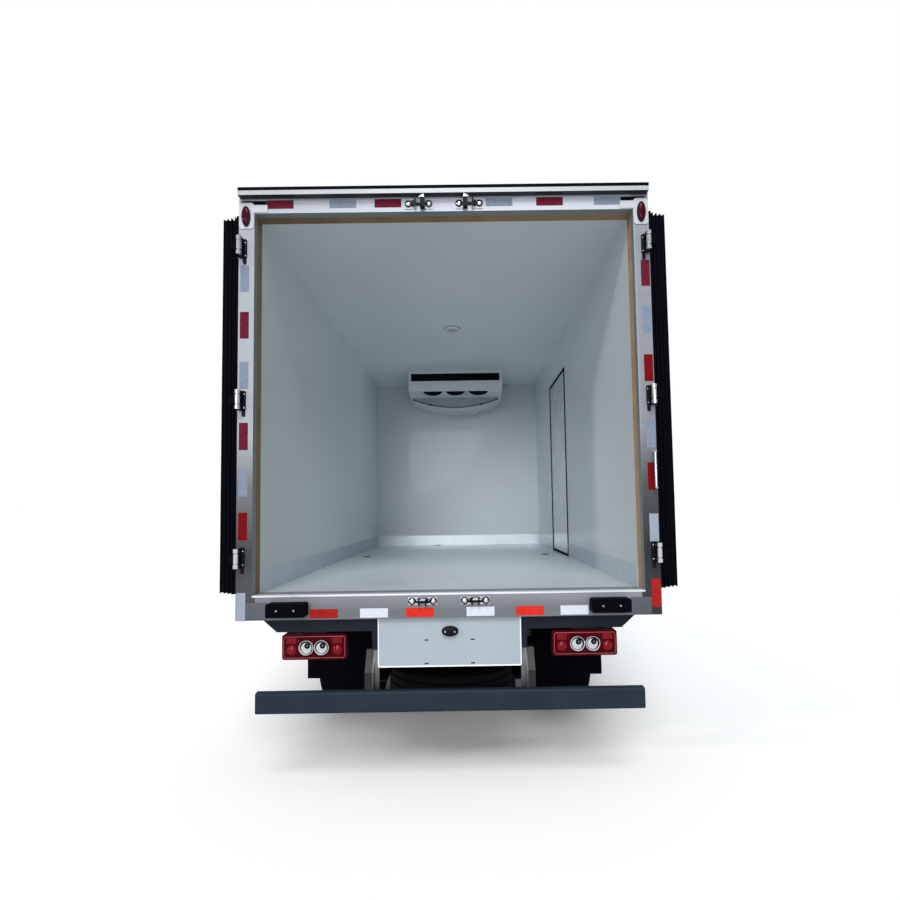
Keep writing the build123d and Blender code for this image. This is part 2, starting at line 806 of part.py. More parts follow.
# Evaporator at the front wall: outlet slot, three fans behind the fascia and a bowed drip tray
evaporator_half_width = 537.0
evaporator_rear_y = front_wall_y - 700.0
evaporator_lip_z = ceiling_z - 234.0
outlet_z = (ceiling_z - 116.0, ceiling_z - 30.0)
outlet_inset = 27.0
outlet_depth = 50.0
tray_half_width = 500.0
tray_rear_y = evaporator_rear_y + 168.0
tray_top_z = evaporator_lip_z - 43.0
tray_end_z = tray_top_z - 24.0
tray_middle_z = tray_top_z - 119.0
fan_radius = 112.0
fan_depth = 60.0
fan_spacing = 262.0
fan_count = 3
fan_lip = 8.0
slope = Vector(0, tray_rear_y - evaporator_rear_y, tray_top_z - evaporator_lip_z)
with BuildPart() as evaporator:
    prism(
        Plane.YZ.offset(-evaporator_half_width),
        [
            (evaporator_rear_y, ceiling_z),
            (evaporator_rear_y, evaporator_lip_z),
            (tray_rear_y, tray_top_z),
            (front_wall_y, tray_top_z),
            (front_wall_y, ceiling_z),
        ],
        2 * evaporator_half_width,
    )
    block(
        (outlet_inset - evaporator_half_width, evaporator_half_width - outlet_inset),
        (evaporator_rear_y, evaporator_rear_y + outlet_depth),
        outlet_z,
        mode=Mode.SUBTRACT,
    )
    with BuildSketch(Plane.XZ.offset(-tray_rear_y)) as tray:
        with BuildLine():
            Polyline(
                (-tray_half_width, tray_end_z),
                (-tray_half_width, tray_top_z),
                (tray_half_width, tray_top_z),
                (tray_half_width, tray_end_z),
            )
            ThreePointArc((tray_half_width, tray_end_z), (0, tray_middle_z), (-tray_half_width, tray_end_z))
        make_face()
    extrude(tray.sketch, amount=tray_rear_y - front_wall_y)
    fascia_edge = Vector(0, evaporator_rear_y, evaporator_lip_z)
    with BuildSketch(Plane(origin=fascia_edge, x_dir=(1, 0, 0), z_dir=(0, slope.Z, -slope.Y))) as fan_halves:
        with GridLocations(fan_spacing, 1, fan_count, 1):
            Circle(fan_radius)
        with Locations((0, fan_radius / 2 - fan_lip)):
            Rectangle(2 * evaporator_half_width, fan_radius + 1.0, mode=Mode.SUBTRACT)
    extrude(fan_halves.sketch, amount=-fan_depth, mode=Mode.SUBTRACT)
save(evaporator, "evaporator")

# Condenser housing on the nose of the box, two fans in its face
condenser_half_width = 720.0
condenser_z = (roof_top_z - 820.0, roof_top_z - 200.0)
condenser_depth = 420.0
condenser_fan_radius = 215.0
condenser_fan_spacing = 660.0
condenser_fan_z = condenser_z[0] + 270.0
condenser_front_y = box_front_y + condenser_depth
with BuildPart() as condenser_unit:
    prism(
        Plane.YZ.offset(-condenser_half_width),
        [
            (box_front_y, condenser_z[1]),
            (condenser_front_y - 170.0, condenser_z[1]),
            (condenser_front_y, condenser_z[1] - 130.0),
            (condenser_front_y, condenser_z[0] + 90.0),
            (condenser_front_y - 80.0, condenser_z[0]),
            (box_front_y, condenser_z[0]),
        ],
        2 * condenser_half_width,
    )
    fillet(condenser_unit.edges().filter_by(Axis.X).group_by(Axis.Y)[1:], 40.0)
    with BuildSketch(Plane.XZ.offset(-condenser_front_y)) as condenser_fans:
        with Locations((0, condenser_fan_z)):
            with GridLocations(condenser_fan_spacing, 1, 2, 1):
                Circle(condenser_fan_radius)
                Circle(condenser_fan_radius * 0.3, mode=Mode.SUBTRACT)
    extrude(condenser_fans.sketch, amount=60.0, mode=Mode.SUBTRACT)
save(condenser_unit, "condenser_unit")

# Rear lamps: a red lamp with two round lenses on each side, and oval markers in the top corners
lamp_y = (frame_rear_y + 25.0, frame_rear_y + 25.0 + lamp_depth)
marker_height = 105.0
marker_width = 42.0
marker_depth = 14.0
with BuildPart() as rear_lamps:
    block(
        (lamp_x - lamp_width / 2, lamp_x + lamp_width / 2),
        lamp_y,
        (lamp_z - lamp_height / 2, lamp_z + lamp_height / 2),
    )
    fillet(rear_lamps.edges().filter_by(Axis.Y), 14.0)
    chamfer(rear_lamps.faces().sort_by(Axis.Y)[0].edges(), 6.0)
    with BuildSketch(Plane.XZ.offset(-lamp_y[0])) as lenses:
        with Locations((lamp_x, lamp_z)):
            with GridLocations(lens_spacing, 1, 2, 1):
                Circle(lens_radius + 6.0)
                Circle(lens_radius, mode=Mode.SUBTRACT)
    extrude(lenses.sketch, amount=8.0)
    block((lamp_x - 60.0, lamp_x + 60.0), (lamp_y[0] + 20.0, lamp_y[0] + 35.0), (lamp_z, bearer_bottom_z))
    with BuildSketch(Plane.XZ.offset(-frame_rear_y)) as marker:
        with Locations((marker_x, marker_z)):
            Ellipse(marker_width / 2, marker_height / 2)
    extrude(marker.sketch, amount=marker_depth)
    mirror(about=Plane.YZ)
save(rear_lamps, "rear_lamps")

# Number plate panel with four slots, and rubber dock bumpers
plate_z = (sill_bottom_z - 5.0 - plate_height, sill_bottom_z - 5.0)
plate_y = (bearer_first_y - plate_thickness, bearer_first_y)
with BuildPart() as plate_panel:
    block((-plate_width / 2, plate_width / 2), plate_y, plate_z)
    with BuildSketch(Plane.XZ.offset(-plate_y[1])) as slots:
        with Locations((0, plate_slot_middle_z)):
            with GridLocations(plate_slot_x, plate_slot_z, 2, 2):
                SlotOverall(plate_slot_length, 2 * plate_slot_radius)
    extrude(slots.sketch, amount=plate_thickness, mode=Mode.SUBTRACT)
save(plate_panel, "plate_panel")

with BuildPart() as dock_bumpers:
    block(
        (dock_x - dock_width / 2, dock_x + dock_width / 2),
        (rear_y, frame_rear_y),
        (dock_z - dock_height / 2, dock_z + dock_height / 2),
    )
    fillet(dock_bumpers.edges().filter_by(Axis.Y), 10.0)
    mirror(about=Plane.YZ)
save(dock_bumpers, "dock_bumpers")

# Underride bar on two brackets against the frame rails
bar_y = (frame_rear_y + 25.0, frame_rear_y + 25.0 + bar_depth)
bracket_y = (rail_rear_y, rail_rear_y + 110.0)
with BuildPart() as underride_bar:
    block((-bar_half_width, bar_half_width), bar_y, (bar_bottom_z, bar_bottom_z + bar_height))
    fillet(underride_bar.edges().filter_by(Axis.X), 14.0)
    bracket_x = (rail_outer_x, rail_outer_x + bar_bracket_width)
    for x in (bracket_x, mirrored(bracket_x)):
        prism(
            Plane.YZ.offset(x[0]),
            [
                (bar_y[0] + 20.0, bar_bottom_z + bar_height / 2),
                (bar_y[0] + 20.0, rail_bottom_z + 60.0),
                (bracket_y[0] + 20.0, rail_top_z - 15.0),
                (bracket_y[1], rail_top_z - 15.0),
                (bracket_y[1], rail_bottom_z),
                (bar_y[1], bar_bottom_z + bar_height / 2),
            ],
            x[1] - x[0],
        )
save(underride_bar, "underride_bar")

# Hinge brackets with their pins, lock keepers and a grab handle on the rear portal
lug_half_width = 13.0
keeper_ear = (14.0, 22.0)
keeper_reach = 75.0
keeper_plate = 4.0
keeper_depth = 30.0
grab_z = (1560.0, 1750.0)
grab_x = box_half_width - 18.0
grab_radius = 7.0
grab_standoff = 28.0
# Lock keepers; columns: low limit, high limit
keeper_table = ((floor_top_z - 56.0, floor_top_z - 16.0), (ceiling_z + 12.0, ceiling_z + 68.0))
with BuildPart() as frame_hardware:
    for z in hinge_heights:
        for low, high in hinge_lugs(z):
            rod((hinge_pin_x, hinge_pin_y, low), (hinge_pin_x, hinge_pin_y, high), hinge_knuckle_radius)
            lug_x = (hinge_pin_x - lug_half_width, hinge_pin_x + lug_half_width)
            block(lug_x, (hinge_pin_y, frame_rear_y), (low, high))
        pin_foot = Vector(hinge_pin_x, hinge_pin_y, z - hinge_half_height)
        rod(pin_foot, pin_foot + Vector(0, 0, 2 * hinge_half_height), hinge_pin_radius)
    for limits in keeper_table:
        for side in (-1, 1):
            ear_x = sorted(lock_rod_x + side * ear for ear in keeper_ear)
            block(ear_x, (frame_rear_y - keeper_depth, frame_rear_y), limits)
            plate_x = sorted(lock_rod_x + side * edge for edge in (keeper_ear[1], keeper_reach))
            block(plate_x, (frame_rear_y - keeper_plate, frame_rear_y), limits)
    mirror(about=Plane.YZ)
    grab_y = frame_rear_y - grab_standoff
    rod((grab_x, grab_y, grab_z[0]), (grab_x, grab_y, grab_z[1]), grab_radius)
    for z in grab_z:
        rod((grab_x, frame_rear_y, z), (grab_x, grab_y - grab_radius, z), grab_radius)
save(frame_hardware, "frame_hardware")


# Rear doors, built on the right: u runs from the hinge pin to the free edge, w from the outer face inwards
def door_block(u, w, z, mode=Mode.ADD):
    block((hinge_pin_x + w[0], hinge_pin_x + w[1]), (hinge_pin_y + u[0], hinge_pin_y + u[1]), z, mode)


def door_ring(outset, w):
    """A band round the door's panel, standing outset from its edge."""
    door_block(
        (panel_u[0] - outset, panel_u[1] + outset), w, (panel_z[0] - outset, panel_z[1] + outset)
    )


panel_u = (door_hinge_u + seal_height, door_free_u - seal_height)
panel_z = (door_bottom_z + seal_height, door_top_z - seal_height)
lip_pitch = (door_thickness - seal_lip_thickness) / (seal_lips - 1)
lock_rod_u = hinge_pin_x - lock_rod_x
lock_rod_w = door_outer_w - lock_rod_standoff
rod_block_heights = (panel_z[0] + 180.0, (panel_z[0] + panel_z[1]) / 2, panel_z[1] - 180.0)
for side, name in ((-1, "left"), (1, "right")):
    with BuildPart() as rear_door:
        door_block(panel_u, (door_outer_w, door_inner_w), panel_z)
        if side < 0:
            mirror(about=Plane.YZ, mode=Mode.REPLACE)
    save(rear_door, f"rear_door_{name}")

    with BuildPart() as door_seal:
        door_ring(seal_base, (door_outer_w, door_inner_w))
        for lip in range(seal_lips):
            lip_w = door_outer_w + lip * lip_pitch
            lip_height = seal_height - (seal_height - seal_inner_height) * lip / (seal_lips - 1)
            door_ring(lip_height, (lip_w, lip_w + seal_lip_thickness))
        door_block(panel_u, (door_outer_w, door_inner_w), panel_z, mode=Mode.SUBTRACT)
        if side < 0:
            mirror(about=Plane.YZ, mode=Mode.REPLACE)
    save(door_seal, f"door_seal_{name}")

    with BuildPart() as door_hardware:
        for z in hinge_heights:
            limits = (z - strap_half_height, z + strap_half_height)
            knuckle_foot = Vector(hinge_pin_x, hinge_pin_y, limits[0])
            knuckle_top = Vector(hinge_pin_x, hinge_pin_y, limits[1])
            rod(knuckle_foot, knuckle_top, hinge_knuckle_radius)
            door_block((-strap_web / 2, strap_web / 2), (0.0, strap_w + strap_thickness), limits)
            door_block((-strap_web / 2, strap_length), (strap_w, strap_w + strap_thickness), limits)
            door_block((panel_u[0] + 12.0, strap_length), (strap_w, door_outer_w), limits)
            rod(knuckle_foot, knuckle_top, hinge_pin_radius + pin_gap, mode=Mode.SUBTRACT)
        rod_foot_z = door_bottom_z - lock_rod_overrun
        rod_foot = Vector(hinge_pin_x + lock_rod_w, hinge_pin_y + lock_rod_u, rod_foot_z)
        rod_length = door_top_z - door_bottom_z + 2 * lock_rod_overrun
        rod(rod_foot, rod_foot + Vector(0, 0, rod_length), lock_rod_radius)
        for z in rod_block_heights:
            guide_u = (lock_rod_u - 22.0, lock_rod_u + 22.0)
            door_block(guide_u, (lock_rod_w - lock_rod_radius, door_outer_w), (z - 20.0, z + 20.0))
        handle_u = (lock_rod_u - handle_length, lock_rod_u)
        catch_u = (handle_u[0], handle_u[0] + 30.0)
        door_block(handle_u, (lock_rod_w - 5.0, lock_rod_w + 5.0), (handle_z - 15.0, handle_z + 15.0))
        door_block(catch_u, (lock_rod_w - lock_rod_radius, door_outer_w), (handle_z - 28.0, handle_z + 28.0))
        if side < 0:
            mirror(about=Plane.YZ, mode=Mode.REPLACE)
    save(door_hardware, f"door_hardware_{name}")

# Side door: a tapered plug with strap hinges at its front edge
side_leaf_y = (side_door_y[0] + door_gap, side_door_y[1] - door_gap)
side_leaf_z = (side_door_bottom_z + door_gap, side_door_top_z - door_gap)
with BuildPart() as side_door:
    with BuildSketch(Plane.YZ.offset(box_half_width)):
        with Locations(((side_leaf_y[0] + side_leaf_y[1]) / 2, (side_leaf_z[0] + side_leaf_z[1]) / 2)):
            Rectangle(side_leaf_y[1] - side_leaf_y[0], side_leaf_z[1] - side_leaf_z[0])
    extrude(amount=-wall, taper=side_door_taper)
    for z in side_hinge_heights:
        limits = (z - strap_half_height, z + strap_half_height)
        rod((side_pin_x, side_pin_y, limits[0]), (side_pin_x, side_pin_y, limits[1]), hinge_knuckle_radius)
        block((box_half_width, side_pin_x), (side_leaf_y[1] - strap_length, side_leaf_y[1]), limits)
        block((side_pin_x - 5.0, side_pin_x + 3.0), (side_leaf_y[1] - strap_length, side_pin_y), limits)
    for z in side_hinge_heights:
        pin_z = (z - strap_half_height, z + strap_half_height)
        rod(
            (side_pin_x, side_pin_y, pin_z[0]),
            (side_pin_x, side_pin_y, pin_z[1]),
            hinge_pin_radius + pin_gap,
            mode=Mode.SUBTRACT,
        )
    handle_y = side_leaf_y[0] + 120.0
    boss_x = (box_half_width, box_half_width + 30.0)
    lever_x = (box_half_width + 18.0, box_half_width + 30.0)
    block(boss_x, (handle_y - 25.0, handle_y + 25.0), (handle_z - 30.0, handle_z + 30.0))
    block(lever_x, (handle_y - 15.0, handle_y + 220.0), (handle_z - 15.0, handle_z + 15.0))
save(side_door, "side_door")

# Cab sections; columns: height, front setback, side inset, back inset, corner radius
cab_sections = (
    (cab_bottom_z, 12.0, 5.0, 0.0, 200.0),
    (cab_nose_z, 0.0, 0.0, 0.0, 210.0),
    (belt_z, 55.0, 0.0, 0.0, 220.0),
    (cab_rail_z, 300.0, 60.0, 0.0, 230.0),
    (cab_roof_z - 75.0, 370.0, 85.0, 25.0, 230.0),
    (cab_roof_z - 20.0, 500.0, 140.0, 85.0, 220.0),
    (cab_roof_z, 720.0, 250.0, 190.0, 200.0),
)


def cab_volume(inset, bottom=cab_bottom_z):
    """The cab's outer form, drawn in by inset on every face above the given bottom."""
    with BuildPart() as volume:
        for z, setback, side_inset, back_inset, corner in cab_sections:
            half = cab_half_width - side_inset - inset
            front = cab_front_y - setback - inset
            back = cab_back_y + back_inset + inset
            radius = corner - inset
            level = max(z, bottom) if z <= cab_rail_z else z - inset
            shoulder = front - cab_crown
            bend = shoulder - radius
            cut = radius * (1 - cos(radians(45)))
            with BuildSketch(Plane.XY.offset(level)):
                with BuildLine():
                    Line((-half, back), (half, back))
                    Line((half, back), (half, bend))
                    ThreePointArc((half, bend), (half - cut, shoulder - cut), (half - radius, shoulder))
                    ThreePointArc((half - radius, shoulder), (0, front), (radius - half, shoulder))
                    ThreePointArc((radius - half, shoulder), (cut - half, shoulder - cut), (-half, bend))
                    Line((-half, bend), (-half, back))
                make_face()
        loft(ruled=True)
    return volume.part


cab_outer = cab_volume(0.0)
cab_inner = cab_volume(cab_wall, cab_floor_top_z)
cab_proud = cab_volume(-12.0, cab_bottom_z)
cab_skin = cab_volume(-seat_gap, cab_bottom_z)
cab_trim = cab_volume(cab_wall + seat_gap, cab_floor_top_z)
cab_hollow = cab_volume(cab_wall)
glass_outer = cab_volume(glass_inset)
glass_inner = cab_volume(glass_inset + glass_thickness)

wide_x = (-1500.0, 1500.0)
far_front_y = front_y + 100.0
cab_middle_y = (cab_back_y + cab_wall, cab_split_y)
door_outline = [
    (cab_door_rear_y, cab_door_bottom_z),
    (cab_hinge_y, cab_door_bottom_z),
    (cab_hinge_y, belt_z),
    (cab_hinge_y - cab_door_slant, cab_door_top_z),
    (cab_door_rear_y, cab_door_top_z),
]
opening_outline = [
    (cab_door_rear_y - door_gap, cab_door_bottom_z - door_gap),
    (cab_hinge_y + door_gap, cab_door_bottom_z - door_gap),
    (cab_hinge_y + door_gap, belt_z),
    (cab_hinge_y - cab_door_slant + door_gap, cab_door_top_z + door_gap),
    (cab_door_rear_y - door_gap, cab_door_top_z + door_gap),
]
window_sill_z = belt_z + 30.0
window_top_z = cab_door_top_z - window_frame * 0.8
slant_share = (window_top_z - window_sill_z) / (cab_door_top_z - belt_z)
window_front_y = cab_hinge_y - window_frame


def window_outline(gap):
    return [
        (cab_door_rear_y + window_frame + gap, window_sill_z + gap),
        (window_front_y - gap, window_sill_z + gap),
        (window_front_y - cab_door_slant * slant_share - gap, window_top_z - gap),
        (cab_door_rear_y + window_frame + gap, window_top_z - gap),
    ]


screen_bottom_x = 800.0
screen_top_x = 735.0


def screen_outline(gap):
    """The windscreen in front view, from the belt to the roof rail."""
    return [
        (-screen_bottom_x + gap, belt_z + gap),
        (screen_bottom_x - gap, belt_z + gap),
        (screen_top_x - gap, cab_rail_z - gap),
        (-screen_top_x + gap, cab_rail_z - gap),
    ]


rear_window_x = 560.0
rear_window_z = (1480.0, 1960.0)
screen_plane = Plane.XZ.offset(-far_front_y)
screen_reach = far_front_y - cab_split_y + 330.0
window_corner = 45.0

floor_half_width = cab_half_width - cab_wall - 10.0
foot_x = (rail_outer_x - rail_flange, rail_outer_x)
foot_y = ((cab_back_y + 60.0, cab_back_y + 140.0), (cab_split_y - 120.0, cab_split_y - 40.0))
with BuildPart() as cab_floor:
    add(cab_outer)
    block(wide_x, (cab_back_y, cab_split_y), (cab_bottom_z, cab_floor_top_z), mode=Mode.INTERSECT)
    block(
        (cab_wall - cab_half_width, cab_half_width - cab_wall),
        (cab_back_y, cab_split_y),
        (cab_bottom_z, cab_floor_bottom_z),
        mode=Mode.SUBTRACT,
    )
    arch_ends = [(x, front_axle_y, wheel_z) for x in wide_x]
    rod(*arch_ends, arch_radius, mode=Mode.SUBTRACT)
    prism(Plane.YZ.offset(wide_x[0]), opening_outline, wide_x[1] - wide_x[0], mode=Mode.SUBTRACT)
    floor_z = (cab_floor_bottom_z, cab_floor_top_z)
    block((-floor_half_width, floor_half_width), (cab_back_y, cab_split_y), floor_z)
    for x in (foot_x, mirrored(foot_x)):
        for y in foot_y:
            block(x, y, (rail_top_z, cab_floor_bottom_z))
save(cab_floor, "cab_floor")

lamp_low_z = 730.0
lamp_high_z = 880.0
headlamp_x = (500.0, 880.0)
lamp_corner = 18.0


def headlamp_outline(gap):
    return [
        (headlamp_x[0] + gap, lamp_low_z + gap),
        (headlamp_x[1] - gap, lamp_low_z + gap),
        (headlamp_x[1] - gap, lamp_high_z - gap),
        (headlamp_x[0] + 40.0 + gap, lamp_high_z - gap),
    ]


with BuildPart() as cab_front:
    add(cab_outer)
    block(wide_x, (cab_split_y, far_front_y), (cab_bottom_z, belt_z), mode=Mode.INTERSECT)
    add(cab_hollow, mode=Mode.SUBTRACT)
    block(
        (cab_wall - cab_half_width + 100.0, cab_half_width - cab_wall - 100.0),
        (cab_split_y, cab_front_y - cab_crown - cab_wall),
        (cab_floor_bottom_z, cab_floor_top_z),
    )
    for side in (-1, 1):
        lamp_opening = [(side * x, z) for x, z in headlamp_outline(0.0)]
        prism(screen_plane, lamp_opening, screen_reach, mode=Mode.SUBTRACT, corner=lamp_corner)
save(cab_front, "cab_front")

with BuildPart() as headlamps:
    add(cab_volume(-4.0))
    add(cab_volume(cab_wall - 5.0), mode=Mode.SUBTRACT)
    with BuildSketch(screen_plane) as lamp_faces:
        for side in (-1, 1):
            with BuildLine():
                Polyline(*[(side * x, z) for x, z in headlamp_outline(seat_gap)], close=True)
            make_face()
        fillet(lamp_faces.vertices(), lamp_corner - seat_gap)
    extrude(lamp_faces.sketch, amount=screen_reach, mode=Mode.INTERSECT)
save(headlamps, "headlamps")

with BuildPart() as cab_sides:
    add(cab_outer)
    add(cab_inner, mode=Mode.SUBTRACT)
    block(wide_x, (cab_middle_y[0], far_front_y), (cab_floor_top_z, cab_rail_z), mode=Mode.INTERSECT)
    block(wide_x, (cab_split_y, far_front_y), (cab_floor_top_z, belt_z), mode=Mode.SUBTRACT)
    prism(screen_plane, screen_outline(0.0), screen_reach, mode=Mode.SUBTRACT)
    prism(Plane.YZ.offset(wide_x[0]), opening_outline, wide_x[1] - wide_x[0], mode=Mode.SUBTRACT)
    for side in (-1, 1):
        x = side * cab_hinge_x
        for z in cab_hinge_heights:
            for low, high in hinge_lugs(z):
                rod((x, cab_pin_y, low), (x, cab_pin_y, high), cab_knuckle_radius)
                lug_x = sorted((side * (cab_half_width - 10.0), x))
                block(lug_x, (cab_hinge_y + door_gap, cab_hinge_y + cab_strap_length), (low, high))
            rod((x, cab_pin_y, z - hinge_half_height), (x, cab_pin_y, z + hinge_half_height), cab_pin_radius)
save(cab_sides, "cab_sides")

with BuildPart() as cab_back:
    add(cab_outer)
    block(wide_x, (cab_back_y, cab_middle_y[0]), (cab_floor_top_z, cab_rail_z), mode=Mode.INTERSECT)
    prism(
        Plane.XZ.offset(-cab_middle_y[0]),
        [
            (-rear_window_x, rear_window_z[0]),
            (rear_window_x, rear_window_z[0]),
            (rear_window_x, rear_window_z[1]),
            (-rear_window_x, rear_window_z[1]),
        ],
        cab_wall,
        mode=Mode.SUBTRACT,
        corner=window_corner,
    )
save(cab_back, "cab_back")

with BuildPart() as cab_roof:
    add(cab_outer)
    add(cab_inner, mode=Mode.SUBTRACT)
    block(wide_x, (cab_back_y, far_front_y), (cab_rail_z, cab_roof_z), mode=Mode.INTERSECT)
save(cab_roof, "cab_roof")

with BuildPart() as cab_glass:
    add(glass_outer)
    add(glass_inner, mode=Mode.SUBTRACT)
    prism(screen_plane, screen_outline(seat_gap), screen_reach, mode=Mode.INTERSECT)
    prism(
        Plane.XZ.offset(-cab_back_y - glass_inset - glass_thickness),
        [
            (-rear_window_x + seat_gap, rear_window_z[0] + seat_gap),
            (rear_window_x - seat_gap, rear_window_z[0] + seat_gap),
            (rear_window_x - seat_gap, rear_window_z[1] - seat_gap),
            (-rear_window_x + seat_gap, rear_window_z[1] - seat_gap),
        ],
        glass_thickness,
        corner=window_corner - seat_gap,
    )
save(cab_glass, "cab_glass")

for side, name in ((-1, "left"), (1, "right")):
    reach = (0.0, wide_x[1]) if side > 0 else (wide_x[0], 0.0)
    with BuildPart() as cab_door:
        add(cab_outer)
        add(cab_hollow, mode=Mode.SUBTRACT)
        side_plane = Plane.YZ.offset(reach[0])
        span = reach[1] - reach[0]
        prism(side_plane, door_outline, span, mode=Mode.INTERSECT)
        prism(side_plane, window_outline(0.0), span, mode=Mode.SUBTRACT, corner=window_corner)
        x = side * cab_hinge_x
        for z in cab_hinge_heights:
            limits = (z - strap_half_height, z + strap_half_height)
            rod((x, cab_pin_y, limits[0]), (x, cab_pin_y, limits[1]), cab_knuckle_radius)
            strap_x = sorted((side * (cab_half_width - 10.0), x))
            block(strap_x, (cab_hinge_y - cab_strap_length, cab_hinge_y), limits)
            bore = cab_pin_radius + pin_gap
            rod((x, cab_pin_y, limits[0]), (x, cab_pin_y, limits[1]), bore, mode=Mode.SUBTRACT)
    save(cab_door, f"cab_door_{name}")

    with BuildPart() as door_glass:
        add(glass_outer)
        add(glass_inner, mode=Mode.SUBTRACT)
        pane_corner = window_corner - seat_gap
        prism(side_plane, window_outline(seat_gap), span, mode=Mode.INTERSECT, corner=pane_corner)
    save(door_glass, f"cab_door_glass_{name}")

# Grille: a frame with level bars, following the front panel
grille_half_width = 470.0
grille_z = (1010.0, 1230.0)
grille_border = 26.0
grille_bars = 4
with BuildPart() as grille:
    add(cab_proud)
    add(cab_skin, mode=Mode.SUBTRACT)
    with BuildSketch(screen_plane) as grille_face:
        with Locations((0, (grille_z[0] + grille_z[1]) / 2)):
            Rectangle(2 * grille_half_width, grille_z[1] - grille_z[0])
        slot_count = grille_bars + 1
        slot_pitch = (grille_z[1] - grille_z[0] - grille_border) / slot_count
        with Locations((0, (grille_z[0] + grille_z[1]) / 2)):
            with GridLocations(1, slot_pitch, 1, slot_count):
                slot_width = 2 * (grille_half_width - grille_border)
                Rectangle(slot_width, slot_pitch - grille_border, mode=Mode.SUBTRACT)
    extrude(grille_face.sketch, amount=screen_reach, mode=Mode.INTERSECT)
save(grille, "grille")

# Front bumper: a wrapped section on two stays to the rails, with a towing eye below
bumper_z = (330.0, cab_bottom_z - 8.0)
bumper_wall = 70.0
bumper_rear_y = front_axle_y + arch_radius + 15.0
bumper_radius = 230.0
tow_eye_x = (355.0, 375.0)
tow_eye_y = front_y - 80.0
tow_eye_z = 275.0
tow_eye_radius = 18.0


def bumper_outline(inset):
    half = cab_half_width + 5.0 - inset
    front = front_y - inset
    radius = bumper_radius - inset
    shoulder = front - cab_crown
    bend = shoulder - radius
    cut = radius * (1 - cos(radians(45)))
    with BuildSketch(Plane.XY.offset(bumper_z[0])) as outline:
        with BuildLine():
            Line((-half, bumper_rear_y), (half, bumper_rear_y))
            Line((half, bumper_rear_y), (half, bend))
            ThreePointArc((half, bend), (half - cut, shoulder - cut), (half - radius, shoulder))
            ThreePointArc((half - radius, shoulder), (0, front), (radius - half, shoulder))
            ThreePointArc((radius - half, shoulder), (cut - half, shoulder - cut), (-half, bend))
            Line((-half, bend), (-half, bumper_rear_y))
        make_face()
    return outline.sketch


bumper_outer = bumper_outline(0.0)
bumper_inner = bumper_outline(bumper_wall)
with BuildPart() as front_bumper:
    extrude(bumper_outer, amount=bumper_z[1] - bumper_z[0])
    extrude(bumper_inner, amount=bumper_z[1] - bumper_z[0], mode=Mode.SUBTRACT)
    bumper_stay_x = (tow_eye_x[0] - 20.0, tow_eye_x[1] + 20.0)
    for x in (bumper_stay_x, mirrored(bumper_stay_x)):
        block(x, (rail_front_y, front_y - bumper_wall), (rail_bottom_z + 10.0, bumper_z[1]))
    block(tow_eye_x, (tow_eye_y - 45.0, tow_eye_y + 45.0), (tow_eye_z - 45.0, bumper_z[0] + 5.0))
    eye_sides = [(x, tow_eye_y, tow_eye_z) for x in tow_eye_x]
    rod(*eye_sides, tow_eye_radius, mode=Mode.SUBTRACT)
save(front_bumper, "front_bumper")

# Mirrors on arms from the windscreen pillars
mirror_x = (1020.0, 1190.0)
mirror_z = (1500.0, 1860.0)
mirror_y = (cab_split_y - 20.0, cab_split_y + 40.0)
with BuildPart() as mirrors:
    block(mirror_x, mirror_y, mirror_z)
    fillet(mirrors.edges().filter_by(Axis.Y), 35.0)
    for z in (mirror_z[0] + 60.0, mirror_z[1] - 60.0):
        rod((780.0, mirror_y[0] + 20.0, z), (mirror_x[0] + 30.0, mirror_y[0] + 20.0, z), 12.0)
    mirror(about=Plane.YZ)
    add(cab_skin, mode=Mode.SUBTRACT)
save(mirrors, "mirrors")

# Dashboard with the steering column and wheel, and the seats
dash_half_width = 860.0
dash_z = (1010.0, 1345.0)
dash_rear_y = cab_front_y - 470.0
wheel_centre = (-470.0, dash_rear_y - 120.0, 1410.0)
wheel_tilt = 55.0
steering_wheel_radius = 200.0
with BuildPart() as dashboard:
    prism(
        Plane.YZ.offset(-dash_half_width),
        [
            (dash_rear_y + 40.0, dash_z[0]),
            (dash_rear_y, dash_z[0] + 190.0),
            (dash_rear_y + 60.0, dash_z[1] - 20.0),
            (dash_rear_y + 140.0, dash_z[1]),
            (cab_front_y, dash_z[1]),
            (cab_front_y, dash_z[0]),
        ],
        2 * dash_half_width,
    )
    add(cab_trim, mode=Mode.INTERSECT)
    rod(wheel_centre, (wheel_centre[0], dash_rear_y + 60.0, dash_z[0] + 120.0), 38.0)
    wheel_axis = (0, -sin(radians(90 - wheel_tilt)), cos(radians(90 - wheel_tilt)))
    with BuildSketch(Plane(origin=wheel_centre, x_dir=(1, 0, 0), z_dir=wheel_axis)) as wheel_face:
        Circle(steering_wheel_radius)
        Circle(steering_wheel_radius - 26.0, mode=Mode.SUBTRACT)
        Rectangle(2 * steering_wheel_radius - 30.0, 40.0)
        Circle(60.0)
    extrude(wheel_face.sketch, amount=12.0, both=True)
save(dashboard, "dashboard")

# Seats; columns: left limit, right limit
seat_table = ((-760.0, -230.0), (-130.0, 760.0))
seat_front_y = dash_rear_y - 290.0
seat_rear_y = cab_back_y + 330.0
with BuildPart() as seats:
    for x in seat_table:
        prism(
            Plane.YZ.offset(x[0]),
            [
                (seat_rear_y + 120.0, cab_floor_top_z),
                (seat_front_y - 60.0, cab_floor_top_z),
                (seat_front_y, cab_floor_top_z + 230.0),
                (seat_front_y - 20.0, cab_floor_top_z + 280.0),
                (seat_rear_y + 150.0, cab_floor_top_z + 260.0),
                (seat_rear_y + 60.0, cab_floor_top_z + 930.0),
                (seat_rear_y - 50.0, cab_floor_top_z + 930.0),
                (seat_rear_y + 20.0, cab_floor_top_z + 230.0),
            ],
            x[1] - x[0],
        )
save(seats, "seats")
